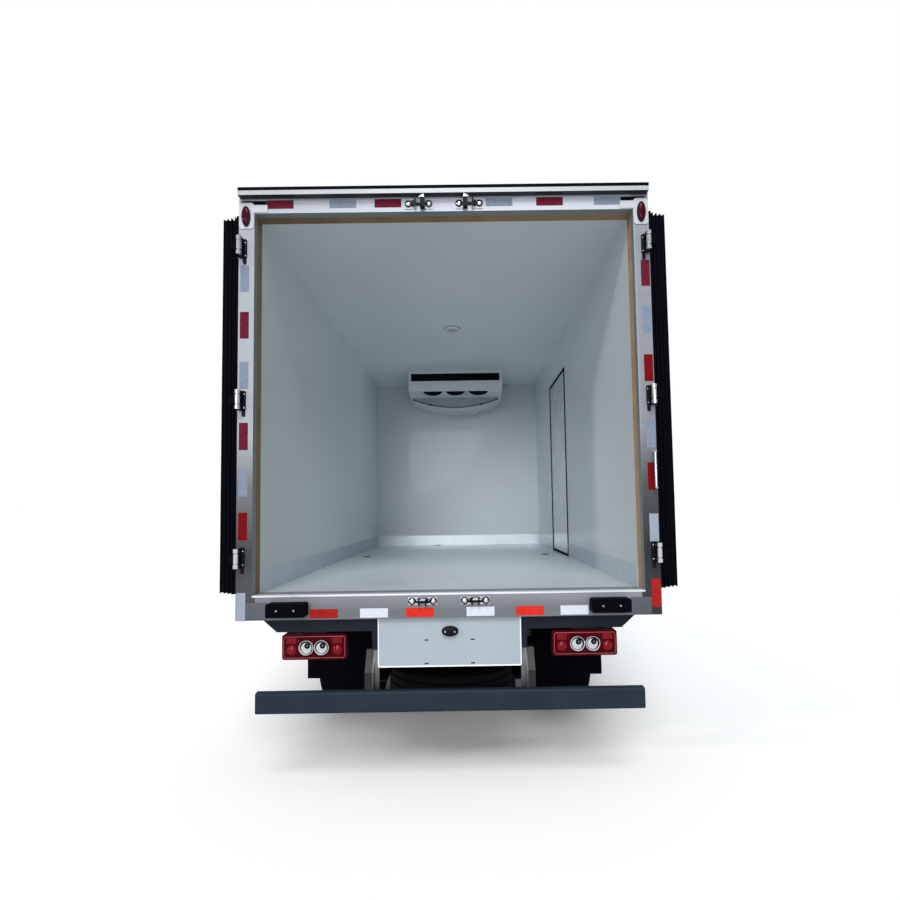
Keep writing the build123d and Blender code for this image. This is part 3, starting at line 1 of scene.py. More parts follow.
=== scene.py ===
"""Dresses the refrigerated truck: materials, fittings and the studio round it. Metres, in the CAD frame."""
from itertools import product
from math import cos, exp, hypot, inf, pi, radians, sin

import bmesh
import bpy
from mathutils import Matrix, Vector
from mathutils.bvhtree import BVHTree


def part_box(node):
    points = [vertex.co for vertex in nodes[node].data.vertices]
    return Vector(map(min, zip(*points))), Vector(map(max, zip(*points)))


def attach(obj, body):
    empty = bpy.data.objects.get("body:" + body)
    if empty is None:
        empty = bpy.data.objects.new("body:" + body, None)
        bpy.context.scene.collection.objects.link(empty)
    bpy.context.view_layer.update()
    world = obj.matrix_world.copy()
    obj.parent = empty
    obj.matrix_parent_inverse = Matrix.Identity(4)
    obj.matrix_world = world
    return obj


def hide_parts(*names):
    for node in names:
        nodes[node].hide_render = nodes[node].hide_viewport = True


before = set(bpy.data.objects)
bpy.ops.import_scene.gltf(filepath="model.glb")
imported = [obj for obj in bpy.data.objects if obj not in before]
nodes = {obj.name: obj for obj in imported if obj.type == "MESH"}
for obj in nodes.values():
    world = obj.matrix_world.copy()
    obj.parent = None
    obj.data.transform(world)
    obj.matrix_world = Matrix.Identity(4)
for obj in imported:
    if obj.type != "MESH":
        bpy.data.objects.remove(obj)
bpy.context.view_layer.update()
scene = bpy.context.scene

SIDES = (-1, 1)
ACROSS, UP, REAR = (1, 0, 0), (0, 0, 1), (0, -1, 0)
SQUARE = 0.9  # A face whose normal goes beyond this along an axis counts as square to it


# Materials
def fill(tree, node, inputs):
    """Sets a shader node's inputs: each is a socket to link or a plain value."""
    for key, value in inputs.items():
        if isinstance(value, bpy.types.NodeSocket):
            tree.links.new(value, node.inputs[key])
        else:
            node.inputs[key].default_value = value


def shader(tree, kind, inputs, operation=None):
    """A new shader node with its inputs set."""
    node = tree.nodes.new("ShaderNode" + kind)
    if operation:
        node.operation = operation
    fill(tree, node, inputs)
    return node


def sums(tree, operation, *terms):
    """The outcome of one arithmetic node; each term is a socket or a number."""
    return shader(tree, "Math", dict(enumerate(terms)), operation).outputs["Value"]


def material(name, colour, rough, vary, scale=6.0, metal=0.0, bump=0.0, grain=60.0, stretch=(1, 1, 1), coat=0.0,
             clear=0.0, spec=0.5, shade=(), ribs=None):
    """A procedural finish: noise of a scale lets colour and roughness vary, and bump raises a finer grain.

    shade lists (axis, low, factor there, high, factor there), with (side, x) after it where it holds only beyond x
    on that side, -1, 1 or 0 for both; ribs is (axis, ribs per metre, strength).
    """
    m = bpy.data.materials.new(name)
    m.use_nodes = True
    t = m.node_tree
    spot = t.nodes.new("ShaderNodeTexCoord").outputs["Object"]
    place = shader(t, "Mapping", {"Vector": spot, "Scale": stretch}).outputs["Vector"]
    noise = shader(t, "TexNoise", {"Vector": place, "Scale": scale, "Detail": 5.0}).outputs["Fac"]
    ramp = shader(t, "ValToRGB", {"Fac": noise})
    for stop, position, factor in zip(ramp.color_ramp.elements, (0.3, 0.7), (1 - vary, 1 + vary)):
        stop.position = position
        stop.color = (*[min(1.0, c * factor) for c in colour], 1)
    shown = ramp.outputs["Color"]
    apart = shader(t, "SeparateXYZ", {"Vector": spot})
    for axis, low, low_factor, high, high_factor, *beyond in shade:
        factor = shader(t, "MapRange", {"Value": apart.outputs[axis], "From Min": low, "From Max": high,
                                        "To Min": low_factor, "To Max": high_factor}).outputs["Result"]
        for side, edge in beyond:
            x = apart.outputs["X"]
            outward = sums(t, "MULTIPLY", x, side) if side else sums(t, "ABSOLUTE", x)
            there = sums(t, "GREATER_THAN", outward, edge)
            factor = sums(t, "MULTIPLY_ADD", sums(t, "SUBTRACT", factor, 1.0), there, 1.0)
        shown = shader(t, "VectorMath", {0: shown, "Scale": factor}, "SCALE").outputs["Vector"]
    drift = shader(t, "MapRange", {"Value": noise, "To Min": max(0.02, rough - 0.06), "To Max": min(1.0, rough + 0.06)})
    surface = {"Base Color": shown, "Roughness": drift.outputs["Result"], "Metallic": metal, "Coat Weight": coat,
               "Specular IOR Level": spec, "Transmission Weight": clear}
    if clear:
        surface["IOR"] = 1.45
    height = None
    if bump:
        fine = shader(t, "TexNoise", {"Vector": place, "Scale": grain, "Detail": 3.0})
        height, strength = fine.outputs["Fac"], bump
    if ribs:
        axis, per_metre, strength = ribs
        height = sums(t, "SINE", sums(t, "MULTIPLY", apart.outputs[axis], per_metre * 2 * pi))
    if height:
        relief = shader(t, "Bump", {"Strength": strength, "Distance": 0.002, "Height": height})
        surface["Normal"] = relief.outputs["Normal"]
    fill(t, t.nodes["Principled BSDF"], surface)
    return m


def tape(name, colour, vary):
    """Reflective strip: a fine sparkle under a dull film."""
    return material(name, colour, 0.55, vary, 90, bump=0.1, grain=700, spec=0.03)


# White panels; painted light in the load space: its walls, ceiling and floor are painted darker near the door and paler
# towards the front wall
wall_white_shaded = material("wall_white_shaded", (0.815, 0.885, 0.915), 0.36, 0.02, 1.5, coat=0.1,
                      shade=[("Y", -2.9, 0.68, -0.1, 1.09)])
# Painted shade: the inside of the front wall takes the wall white made darker
end_wall_shaded = material("end_wall_shaded", (0.64, 0.71, 0.74), 0.36, 0.02, 1.5, coat=0.1)
# Painted light on the floor as well: darker near the door, paler towards the front wall
floor_white_shaded = material("floor_white_shaded", (0.66, 0.73, 0.77), 0.32, 0.03, 3.0, bump=0.08, grain=220,
                       shade=[("Y", -2.9, 0.76, 0.3, 1.27)])
skin_white = material("skin_white", (0.78, 0.8, 0.82), 0.28, 0.015, 1.5, coat=0.3)
# Painted shade: the rear doors take the skin white made darker, so that they do not wash out under the light
door_white_shaded = material("door_white_shaded", (0.59, 0.61, 0.63), 0.3, 0.02, 1.5, coat=0.2)
cab_paint = material("cab_paint", (0.78, 0.8, 0.82), 0.22, 0.015, 1.5, coat=0.8)
cover_white = material("cover_white", (0.5, 0.52, 0.56), 0.4, 0.04, 12)
fascia_white = material("fascia_white", (0.8, 0.8, 0.84), 0.35, 0.03, 5)
lamp_white = material("lamp_white", (0.83, 0.84, 0.83), 0.25, 0.04, 20, coat=0.4)
plate_white = material("plate_white", (0.34, 0.39, 0.435), 0.4, 0.025, 4, coat=0.05)

# Metals; painted shade and reflection on the portal's steel: darker towards the sill, dark bands low down the posts
# over a lighter foot, a darker right post, and a header that lightens towards the right
portal_steel_shaded = material("portal_steel_shaded", (0.385, 0.41, 0.462), 0.42, 0.04, 4.0, metal=0.15, bump=0.03,
                        grain=90, stretch=(1, 1, 10),
                        shade=[("Z", 0.95, 0.31, 1.2, 1.0), ("X", -1.0, 0.95, 0.9, 1.22), ("X", 1.0, 1.0, 1.03, 0.58),
                               ("Z", 1.58, 0.36, 1.86, 1.0, (0, 1.0)), ("Z", 1.25, 0.2, 1.55, 0.85, (0, 1.0)),
                               ("Z", 0.95, 4.0, 1.2, 1.0, (0, 1.0)), ("Z", 1.5, 0.6, 2.0, 1.0, (1, 1.0))])
visor_steel = material("visor_steel", (0.42, 0.44, 0.455), 0.3, 0.04, 5.0, metal=0.15, stretch=(0.5, 1, 1))
# Painted shade: near-black for the visor's underside and top, dark grey for the return inside the opening
visor_shade = material("visor_shade", (0.024, 0.029, 0.036), 0.24, 0.1, 3.0, metal=0.1, spec=0.2)
return_shade = material("return_shade", (0.205, 0.24, 0.24), 0.45, 0.08, 6.0, metal=0.3)
end_plate = material("end_plate", (0.08, 0.088, 0.108), 0.45, 0.1, 9, metal=0.2)
threshold = material("threshold", (0.74, 0.77, 0.8), 0.3, 0.04, 9, metal=0.2)
edge_strip = material("edge_strip", (0.19, 0.21, 0.22), 0.45, 0.12, 12, bump=0.05)
stainless = material("stainless", (0.62, 0.64, 0.66), 0.24, 0.06, 5.0, metal=1.0, bump=0.03, grain=90,
                     stretch=(1, 1, 12))
bright = material("bright", (0.82, 0.83, 0.85), 0.12, 0.05, 20, metal=1.0)
alu = material("alu", (0.68, 0.7, 0.72), 0.3, 0.06, 8.0, metal=1.0, bump=0.03, stretch=(6, 1, 1))
kick_alu = material("kick_alu", (0.58, 0.64, 0.69), 0.36, 0.05, 8.0, metal=0.35, bump=0.05, stretch=(4, 4, 1))
# Painted light: a lighter copy of the kick plates' aluminium for the far one
kick_alu_lit = material("kick_alu_lit", (0.66, 0.72, 0.75), 0.3, 0.03, 8, metal=0.35)
tray_grey = material("tray_grey", (0.29, 0.33, 0.36), 0.42, 0.06, 6, bump=0.05, metal=0.1)
galv = material("galv", (0.34, 0.36, 0.38), 0.4, 0.18, 22, metal=0.8, bump=0.05)
rim_paint = material("rim_paint", (0.55, 0.57, 0.59), 0.32, 0.08, 9, metal=0.35, coat=0.2)
chassis = material("chassis", (0.0055, 0.0068, 0.011), 0.5, 0.2, 7, bump=0.06, spec=0.12)
bearer_paint = material("bearer_paint", (0.0085, 0.0115, 0.019), 0.48, 0.12, 7, bump=0.05, spec=0.12)
bar_grey = material("bar_grey", (0.016, 0.026, 0.0385), 0.46, 0.1, 5, bump=0.05, spec=0.1)
# Painted shade for the stays: a dark-to-pale gradient upwards and near-black beyond a narrow inner strip
stay_painted_shade = material("stay_painted_shade", (0.125, 0.125, 0.132), 0.5, 0.15, 14, metal=0.1, bump=0.05,
                     shade=[("Z", 0.54, 0.2, 0.72, 1.9), ("X", 0.404, 1.0, 0.408, 0.03),
                            ("X", -0.408, 0.03, -0.404, 1.0)])
mirror_glass = material("mirror_glass", (0.7, 0.74, 0.78), 0.05, 0.02, metal=1.0)

# Rubber, plastic, cloth, the tan jamb and glass
rubber = material("rubber", (0.0015, 0.0015, 0.0038), 0.66, 0.3, 12, bump=0.15, grain=140, spec=0.03)
black_plastic = material("black_plastic", (0.0045, 0.0052, 0.0085), 0.42, 0.2, 14, bump=0.05, spec=0.1)
tyre_black = material("tyre_black", (0.0042, 0.0042, 0.0056), 0.8, 0.3, 10, bump=0.2, grain=120, spec=0.06)
plastic_dark = material("plastic_dark", (0.02, 0.022, 0.025), 0.55, 0.12, 14, bump=0.12, grain=300)
plastic_grey = material("plastic_grey", (0.13, 0.14, 0.15), 0.5, 0.08, 12, bump=0.08, grain=300)
floor_mat = material("floor_mat", (0.012, 0.012, 0.013), 0.8, 0.2, 20, bump=0.2, grain=200)
headliner = material("headliner", (0.42, 0.42, 0.4), 0.9, 0.05, 30, bump=0.15, grain=300)
cloth = material("cloth", (0.05, 0.055, 0.065), 0.85, 0.2, 30, bump=0.3, grain=500)
cloth_mid = material("cloth_mid", (0.11, 0.12, 0.14), 0.88, 0.2, 40, bump=0.35, grain=420)
# Painted light on the jamb: its tan turns lighter towards the right and darker along the top
tan = material("tan", (0.245, 0.16, 0.082), 0.6, 0.15, 9, bump=0.05, spec=0.3,
               shade=[("X", -1.0, 0.9, 1.0, 1.7), ("Z", 2.98, 1.0, 3.04, 0.76)])
glass = material("glass", (0.8, 0.88, 0.88), 0.04, 0.02, clear=0.95)
red_lens = material("red_lens", (0.056, 0.0006, 0.0038), 0.2, 0.25, 26, coat=0.02, spec=0.05, ribs=("X", 95, 0.25))
lamp_rim = material("lamp_rim", (0.3, 0.05, 0.06), 0.3, 0.2, 30, spec=0.2)
lamp_bowl = material("lamp_bowl", (0.17, 0.003, 0.009), 0.14, 0.25, 60, coat=0.1, spec=0.15)
marker_lens = material("marker_lens", (0.055, 0.0018, 0.009), 0.16, 0.25, 40, coat=0.03, spec=0.08)
amber_lens = material("amber_lens", (0.62, 0.2, 0.02), 0.15, 0.12, 40, coat=0.4)
clear_lens = material("clear_lens", (0.5, 0.52, 0.52), 0.14, 0.12, 60, coat=0.1, spec=0.3, ribs=("X", 160, 0.3))

# Reflective tape, from dull red to vivid and from grey to white
tape_red = tape("tape_red", (0.125, 0.0105, 0.026), 0.22)
tape_scarlet = tape("tape_scarlet", (0.162, 0.004, 0.0065), 0.18)
tape_bright = tape("tape_bright", (0.33, 0.016, 0.014), 0.18)
tape_vivid = tape("tape_vivid", (0.62, 0.028, 0.018), 0.14)
tape_grey = tape("tape_grey", (0.198, 0.24, 0.32), 0.12)
tape_high = tape("tape_high", (0.205, 0.248, 0.318), 0.12)
tape_dull = tape("tape_dull", (0.29, 0.325, 0.385), 0.06)
tape_white = tape("tape_white", (0.6, 0.64, 0.72), 0.06)

finishes = {
    "frame_rails frame_crossmembers engine_and_gearbox front_axle_beam rear_axle leaf_springs battery_box"
    " knuckle_left knuckle_right tie_rod": chassis,
    "cross_bearers": bearer_paint,
    "underride_bar": bar_grey,
    "exhaust_silencer side_guards fuel_tank": galv,
    "rear_mudguards dock_bumpers door_seal_left door_seal_right": rubber,
    "cab_floor cab_front cab_sides cab_back cab_roof cab_door_left cab_door_right": cab_paint,
    "box_roof box_side_left box_side_right": wall_white_shaded,
    "box_front_wall": end_wall_shaded,
    "box_floor": floor_white_shaded,
    "side_door evaporator condenser_unit": skin_white,
    "rear_door_left rear_door_right": door_white_shaded,
    "cab_glass cab_door_glass_left cab_door_glass_right": glass,
    "headlamps": clear_lens,
    "front_bumper mirrors dashboard": plastic_grey,
    "grille": plastic_dark,
    "seats": cloth,
    "rear_frame": portal_steel_shaded,
    "frame_hardware door_hardware_left door_hardware_right": stainless,
    "door_jamb": tan,
    "kick_plates": kick_alu,
    "rear_lamps": red_lens,
    "plate_panel": plate_white,
    "front_wheel_left front_wheel_right rear_wheels_left rear_wheels_right spare_wheel": tyre_black,
}
for names, finish in finishes.items():
    for name in names.split():
        nodes[name].data.materials.clear()
        nodes[name].data.materials.append(finish)


def repaint(name, finish, test):
    """Gives the faces of a CAD node that pass test(centre, normal) another finish."""
    o = nodes[name]
    o.data.materials.append(finish)
    index = len(o.data.materials) - 1
    turn = o.matrix_world.to_3x3()
    for p in o.data.polygons:
        if test(o.matrix_world @ p.center, turn @ p.normal):
            p.material_index = index


# Places that the pieces below hang on, read from the CAD frame
portal_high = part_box("rear_frame")[1]
portal_depth = 0.046
rear_y = portal_high.y - portal_depth
box_half = portal_high.x
(_, _, sill_low), (opening_half, _, floor_z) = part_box("box_floor")
(_, _, ceiling_z), (_, _, roof_z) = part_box("box_roof")
(_, front_wall_y, _), (_, box_front_y, _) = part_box("box_front_wall")


# Building pieces
def span(middle, length):
    """The two ends of a length about its middle."""
    return middle - length / 2, middle + length / 2


def ring_angles(count):
    """Angles evenly spaced round a circle."""
    return [2 * pi * k / count for k in range(count)]


class Shape:
    """Gathers plain forms into one mesh; index is the finish that new faces take."""

    def __init__(self):
        self.mesh = bmesh.new()
        self.index = 0

    def add(self, points, faces):
        made = [self.mesh.verts.new(p) for p in points]
        for f in faces:
            face = self.mesh.faces.new([made[i] for i in f])
            face.material_index = self.index
            face.smooth = True

    def rows(self, points, sides, closed):
        """Joins rings of points into a skin, which either runs into itself or has a flat end at each end."""
        count = len(points) // sides
        faces = []
        for r in range(count if closed else count - 1):
            n = (r + 1) % count
            for k in range(sides):
                j = (k + 1) % sides
                faces.append((r * sides + k, r * sides + j, n * sides + j, n * sides + k))
        if not closed:
            faces.append(tuple(range(sides - 1, -1, -1)))
            faces.append(tuple((count - 1) * sides + k for k in range(sides)))
        self.add(points, faces)

    def box(self, x, y, z):
        points = [(a, b, c) for a in x for b in y for c in z]
        self.add(points, [(0, 1, 3, 2), (4, 6, 7, 5), (0, 4, 5, 1), (2, 3, 7, 6), (0, 2, 6, 4), (1, 5, 7, 3)])

    def pair(self, x, y, z):
        """The same box on both sides of the truck."""
        for side in SIDES:
            self.box(sorted(side * a for a in x), y, z)

    def turned(self, centre, axis, outline, sides=40, oval=1.0, closed=False, notch=None):
        """An outline of (along, radius) turned about an axis; oval stretches it across.

        notch is (every so many sides, {row: depth}).
        """
        axis = Vector(axis).normalized()
        side = Vector(UP if abs(axis.z) < SQUARE else ACROSS).cross(axis).normalized()
        up = axis.cross(side)
        centre = Vector(centre)
        points = []
        for row, (along, radius) in enumerate(outline):
            for k, a in enumerate(ring_angles(sides)):
                reach = max(radius, 1e-5)
                if notch and k % notch[0] == 0:
                    reach -= notch[1].get(row, 0.0)
                points.append(centre + axis * along + (side * cos(a) * oval + up * sin(a)) * reach)
        self.rows(points, sides, closed)

    def rod(self, start, end, radius, sides=16):
        along = Vector(end) - Vector(start)
        self.turned(start, along, [(0, radius), (along.length, radius)], sides)

    def tube(self, path, radius, sides=10, closed=False):
        """A round bar along a path of points."""
        path = [Vector(p) for p in path]
        last = len(path) - 1
        points = []
        side = None
        for i, p in enumerate(path):
            if closed:
                along = path[(i + 1) % len(path)] - path[i - 1]
            else:
                along = path[min(i + 1, last)] - path[max(i - 1, 0)]
            along.normalize()
            if side is None:
                side = along.orthogonal().normalized()
            side = (side - along * side.dot(along)).normalized()
            up = along.cross(side)
            points += [p + (side * cos(a) + up * sin(a)) * radius for a in ring_angles(sides)]
        self.rows(points, sides, closed)

    def plate(self, outline, origin, thickness, across=ACROSS, up=UP):
        """A flat outline of (across, up) drawn out along across x up by thickness: rearward unless told otherwise."""
        origin, across, up = Vector(origin), Vector(across), Vector(up)
        out = across.cross(up).normalized() * thickness
        count = len(outline)
        flat = [origin + across * a + up * b for a, b in outline]
        faces = [tuple(range(count - 1, -1, -1)), tuple(range(count, 2 * count))]
        faces += [(i, (i + 1) % count, count + (i + 1) % count, count + i) for i in range(count)]
        self.add(flat + [p + out for p in flat], faces)

    def done(self, name, *finish, body="truck", bevel=0.0, slot=None, stands_for=()):
        """Turns what was gathered into one piece that rides on a body."""
        bmesh.ops.recalc_face_normals(self.mesh, faces=self.mesh.faces[:])
        data = bpy.data.meshes.new(name)
        self.mesh.to_mesh(data)
        self.mesh.free()
        data.set_sharp_from_angle(angle=radians(38))
        for m in finish:
            data.materials.append(m)
        o = bpy.data.objects.new(name, data)
        scene.collection.objects.link(o)
        if bevel:
            cut = o.modifiers.new("edges", "BEVEL")
            cut.width = bevel
            cut.segments = 2
            cut.limit_method = "ANGLE"
            cut.angle_limit = radians(40)
        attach(o, body)
        if stands_for:
            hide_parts(*stands_for)
        return o


def rounded(half_x, half_z, corner, steps=5):
    """The outline of a rectangle with round corners, about its middle."""
    points = []
    for sx, sz, start in ((1, 1, 0), (-1, 1, 90), (-1, -1, 180), (1, -1, 270)):
        for k in range(steps + 1):
            a = radians(start + 90 * k / steps)
            points.append((sx * (half_x - corner) + corner * cos(a), sz * (half_z - corner) + corner * sin(a)))
    return points


# Rear portal: painted shade on the return inside the opening, the visor's bright face, and painted shade and dark
# reflection on the visor's underside, with its top in the same near-black
repaint("rear_frame", return_shade, lambda c, n: abs(n.y) < 0.3 and abs(c.x) < opening_half + 0.002
        and floor_z < c.z < ceiling_z + 0.002)
repaint("rear_frame", visor_steel, lambda c, n: c.y < rear_y - 0.02 and n.y < -SQUARE)
repaint("rear_frame", visor_shade, lambda c, n: c.y < rear_y - 0.002 and (n.z < -0.8 or n.z > 0.3)
        and c.z > ceiling_z + 0.07)

# Reflective strips, lying on header and sill and standing on the posts
tape_length, tape_width = 0.144, 0.047
tape_y = (rear_y - 0.0006, rear_y + 0.001)
header_z, sill_z, left_x, right_x = 3.112, 0.935, -1.067, 1.073
# Columns: piece, finish, xs and zs of its strips; those on the posts stand upright
for name, finish, xs, zs in (
    ("tape_header_red", tape_red, (-0.88, -0.301, 0.569), (header_z,)),
    ("tape_header_grey", tape_high, (-0.543, 0.297, 0.881), (header_z,)),
    ("tape_sill_red", tape_bright, (-0.645,), (sill_z,)),
    ("tape_sill_vivid", tape_vivid, (-0.15, 0.417), (sill_z,)),
    ("tape_sill_white", tape_white, (-0.387, 0.162, 0.647), (sill_z,)),
    ("tape_left_red", tape_red, (left_x,), (2.454, 1.86)),
    ("tape_left_scarlet", tape_scarlet, (left_x,), (1.389,)),
    ("tape_left_grey", tape_grey, (left_x,), (2.707, 2.185, 1.616)),
    ("tape_left_white", tape_dull, (left_x - 0.006,), (0.975,)),
    ("tape_right_red", tape_red, (right_x,), (2.711,)),
    ("tape_right_scarlet", tape_scarlet, (right_x,), (2.196, 1.621)),
    ("tape_right_bright", tape_bright, (right_x,), (1.016,)),
    ("tape_right_grey", tape_grey, (right_x,), (2.457, 1.842)),
    ("tape_right_white", tape_dull, (right_x,), (1.353,)),
):
    s = Shape()
    for x, z in product(xs, zs):
        width, height = (tape_width, tape_length) if abs(x) > opening_half else (tape_length, tape_width)
        s.box(span(x, width), tape_y, span(z, height))
    s.done(name, finish)

# Corner covers, sill end plates, strips along the threshold, black lines beside the visor as painted shade, and a black
# line on top of the visor
s = Shape()
for side in SIDES:
    s.plate(rounded(0.04, 0.072, 0.016), (side * 1.059, rear_y - 0.0015, 3.05), 0.0025)
    s.plate(rounded(0.05, 0.021, 0.006), (side * 0.997, rear_y - 0.0012, 3.089), 0.0022)
s.done("corner_covers", cover_white, bevel=0.0008, slot="stainless")
s = Shape()
s.pair((0.937, 1.047), (rear_y - 0.003, rear_y + 0.001), (0.908, 0.996))
s.done("sill_end_plates", end_plate, bevel=0.002, slot="stainless")
s = Shape()
s.box((-opening_half, opening_half), (rear_y - 0.002, rear_y + portal_depth), (floor_z - 0.006, floor_z + 0.003))
s.done("threshold_strip", threshold, bevel=0.002, slot="stainless")
s = Shape()
strip_half = opening_half - 0.004
s.box((-strip_half, strip_half), (rear_y + 0.047, rear_y + 0.14), (floor_z - 0.001, floor_z + 0.0012))
s.done("floor_edge_strip", edge_strip, slot="stainless")
# Painted shade: black lines just below the visor's ends
s = Shape()
s.pair((0.953, 1.085), (rear_y - 0.003, rear_y + 0.001), (3.111, 3.131))
s.done("visor_end_shade_lines", rubber, slot="black_rubber")
s = Shape()
visor_half, visor_top = box_half - 0.007, portal_high.z
s.box((-visor_half, visor_half), (rear_y - 0.0415, rear_y - 0.0385), (visor_top - 0.016, visor_top + 0.0006))
s.done("visor_top_strip", rubber, slot="black_rubber")

# Black rubber strips on the side walls that close the gap behind the folded doors, parted at the hinges: painted shade,
# standing in for the dark of that gap
hinge_zs = (1.226, 2.046, 2.866)
hinge_gap = 0.05
stops = [1.04] + [z + d for z in hinge_zs for d in (-hinge_gap, hinge_gap)] + [3.056]
s = Shape()
for low_z, high_z in zip(stops[::2], stops[1::2]):
    s.pair((box_half - 0.0005, box_half + 0.017), (rear_y + 0.006, rear_y + 0.044), (low_z, high_z))
s.done("gap_shade_strips", rubber, bevel=0.003, slot="black_rubber")

# Oval marker lamps: a black bezel and a domed red lens over each CAD marker
marker_x, marker_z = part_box("rear_lamps")[1].x - 0.021, 3.045
bezel = [(0.0, 0.0555), (0.008, 0.0555), (0.0145, 0.0535), (0.015, 0.05)]
dome = [(0.014, 0.049), (0.0165, 0.0465), (0.019, 0.039), (0.0205, 0.027), (0.0212, 0.012), (0.0214, 0.0)]
# Columns: piece, outline, ratio of width to height, finish, slot
for name, outline, oval, finish, slot in (("marker_bezels", bezel, 0.415, black_plastic, "black_rubber"),
                                          ("marker_lenses", dome, 0.4, marker_lens, "red_lens")):
    s = Shape()
    for side in SIDES:
        s.turned((side * marker_x, rear_y, marker_z), REAR, outline, 48, oval=oval)
    s.done(name, finish, slot=slot)
repaint("rear_lamps", black_plastic, lambda c, n: c.z > 2.5 or c.y > rear_y + 0.045)

# Tail lamps: a pale rim, ribbed red lens with two chrome-ringed round lenses, two red bowls and two red pads
lamp_x, lamp_y, lamp_z = 0.701, rear_y + 0.025, 0.76
ring = [(0.004, 0.0385), (0.0135, 0.0385), (0.015, 0.037), (0.015, 0.0345), (0.009, 0.0325), (0.004, 0.032)]
bowl = [(0.0, 0.027), (0.004, 0.025), (0.009, 0.016), (0.011, 0.0)]
# Columns of a round lens: finish, offset across, offset up, reach, radius
lens_steps = ((1, 0.0, 0.0, 0.0045, 0.0325), (0, -0.001, -0.003, 0.0085, 0.0275),
              (1, 0.005, 0.009, 0.0125, 0.015), (2, 0.006, 0.01, 0.0135, 0.005))
rims, bowls, rings, round_lenses = Shape(), Shape(), Shape(), Shape()
for side in SIDES:
    middle = side * lamp_x
    rim = [(middle + a, lamp_y - 0.0005, lamp_z + b) for a, b in rounded(0.158, 0.054, 0.012)]
    rims.tube(rim, 0.0022, 8, closed=True)
    for x in span(middle, 0.079):
        rings.turned((x, lamp_y, lamp_z), REAR, ring, 40, closed=True)
        for finish, across, up, reach, radius in lens_steps:
            round_lenses.index = finish
            step = [(0.001, radius), (reach - 0.003, radius), (reach, radius * 0.8), (reach + 0.001, 0)]
            round_lenses.turned((x + across, lamp_y, lamp_z + up), REAR, step, 32)
    for x in span(middle, 0.236):
        bowls.turned((x, lamp_y, lamp_z - 0.014), REAR, bowl, 32)
        bowls.plate(rounded(0.026, 0.015, 0.005), (x, lamp_y + 0.0005, lamp_z + 0.034), 0.003)
rims.done("lamp_rims", lamp_rim, slot="red_lens")
bowls.done("lamp_bowls", lamp_bowl, slot="red_lens")
rings.done("lamp_rings", bright, slot="stainless")
round_lenses.done("lamp_lenses", clear_lens, black_plastic, plastic_grey, slot="clear_glass")

# Plate lamp with two bright screws, and a pale edging round the plate
plate_low, plate_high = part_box("plate_panel")
plate_lamp_x, plate_lamp_z = 0.003, 0.832
s = Shape()
s.turned((plate_lamp_x, plate_low.y, plate_lamp_z), REAR,
         [(0.0, 0.027), (0.012, 0.0265), (0.02, 0.023), (0.023, 0.015), (0.0235, 0)], 40, oval=1.62)
s.index = 1
for x in span(plate_lamp_x, 0.048):
    s.turned((x, plate_low.y - 0.0205, plate_lamp_z), REAR, [(0, 0.005), (0.003, 0.004), (0.0035, 0)], 16)
s.done("plate_lamp", black_plastic, bright, slot="black_rubber")
edging_y = (plate_low.y - 0.002, plate_high.y)
s = Shape()
for x in (plate_low.x, plate_high.x):
    s.box(span(x, 0.006), edging_y, (plate_low.z, plate_high.z))
s.box((plate_low.x, plate_high.x), edging_y, (plate_low.z - 0.002, plate_low.z + 0.005))
s.done("plate_edging", lamp_white, slot="plate_white")

# Dock bumpers: two bolts in a raised pad each
dock_y, dock_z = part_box("dock_bumpers")[0].y, 0.963
s = Shape()
for side in SIDES:
    for x in (0.781, 0.869):
        s.turned((side * x, dock_y - 0.002, dock_z), REAR,
                 [(-0.004, 0.0055), (0.002, 0.0055), (0.004, 0.0035), (0.004, 0)], 20)
s.done("dock_bolts", galv, slot="stainless")
s = Shape()
for side in SIDES:
    s.plate(rounded(0.083, 0.019, 0.008), (side * 0.825, dock_y + 0.0012, dock_z), 0.0035)
s.done("dock_pads", rubber, bevel=0.002, slot="black_rubber")

# Hinges and grab handle: dark brackets and straps, bright pins and handle
pin_x, pin_y, pin_radius = 1.082, rear_y - 0.046, 0.0145
post_x, keeper_half = 1.04, 0.25
grab_x, grab_z, grab_half = 1.06, 1.655, 0.12


def at_pin(c):
    return hypot(abs(c.x) - pin_x, c.y - pin_y) < pin_radius


def at_strap(c):
    return c.y < pin_y + 0.3 and min(abs(c.z - z) for z in hinge_zs) < 0.03


repaint("frame_hardware", black_plastic, lambda c, n: abs(c.x) > post_x and abs(c.z - grab_z) > grab_half
        and not at_pin(c))
repaint("frame_hardware", bright, lambda c, n: abs(c.x) > post_x and at_pin(c) and abs(n.z) < 0.5)
repaint("frame_hardware", black_plastic, lambda c, n: abs(c.x) < keeper_half and n.y < -SQUARE and c.y < rear_y - 0.02)
repaint("frame_hardware", bright, lambda c, n: c.x > grab_x and abs(c.z - grab_z) < grab_half)
repaint("frame_hardware", portal_steel_shaded, lambda c, n: abs(c.x) < keeper_half and c.z > 2.0 and c.y > rear_y - 0.02)
for name in ("door_hardware_left", "door_hardware_right"):
    repaint(name, rubber, lambda c, n: at_strap(c) and not at_pin(c))
    repaint(name, bright, lambda c, n: at_pin(c))
s = Shape()
for side in SIDES:
    for z in hinge_zs:
        s.index = 0
        s.plate(rounded(0.014, 0.052, 0.008), (side * 1.069, rear_y + 0.001, z + 0.003), 0.008)
        s.plate(rounded(0.009, 0.022, 0.007), (side * 1.067, rear_y + 0.001, z - 0.06), 0.006)
        s.index = 1
        for bolt_z in span(z, 0.072):
            s.turned((side * 1.063, rear_y - 0.006, bolt_z), REAR, [(0, 0.0045), (0.003, 0.004), (0.0035, 0)], 12)
s.done("hinge_brackets", black_plastic, bright, bevel=0.002, slot="black_rubber")

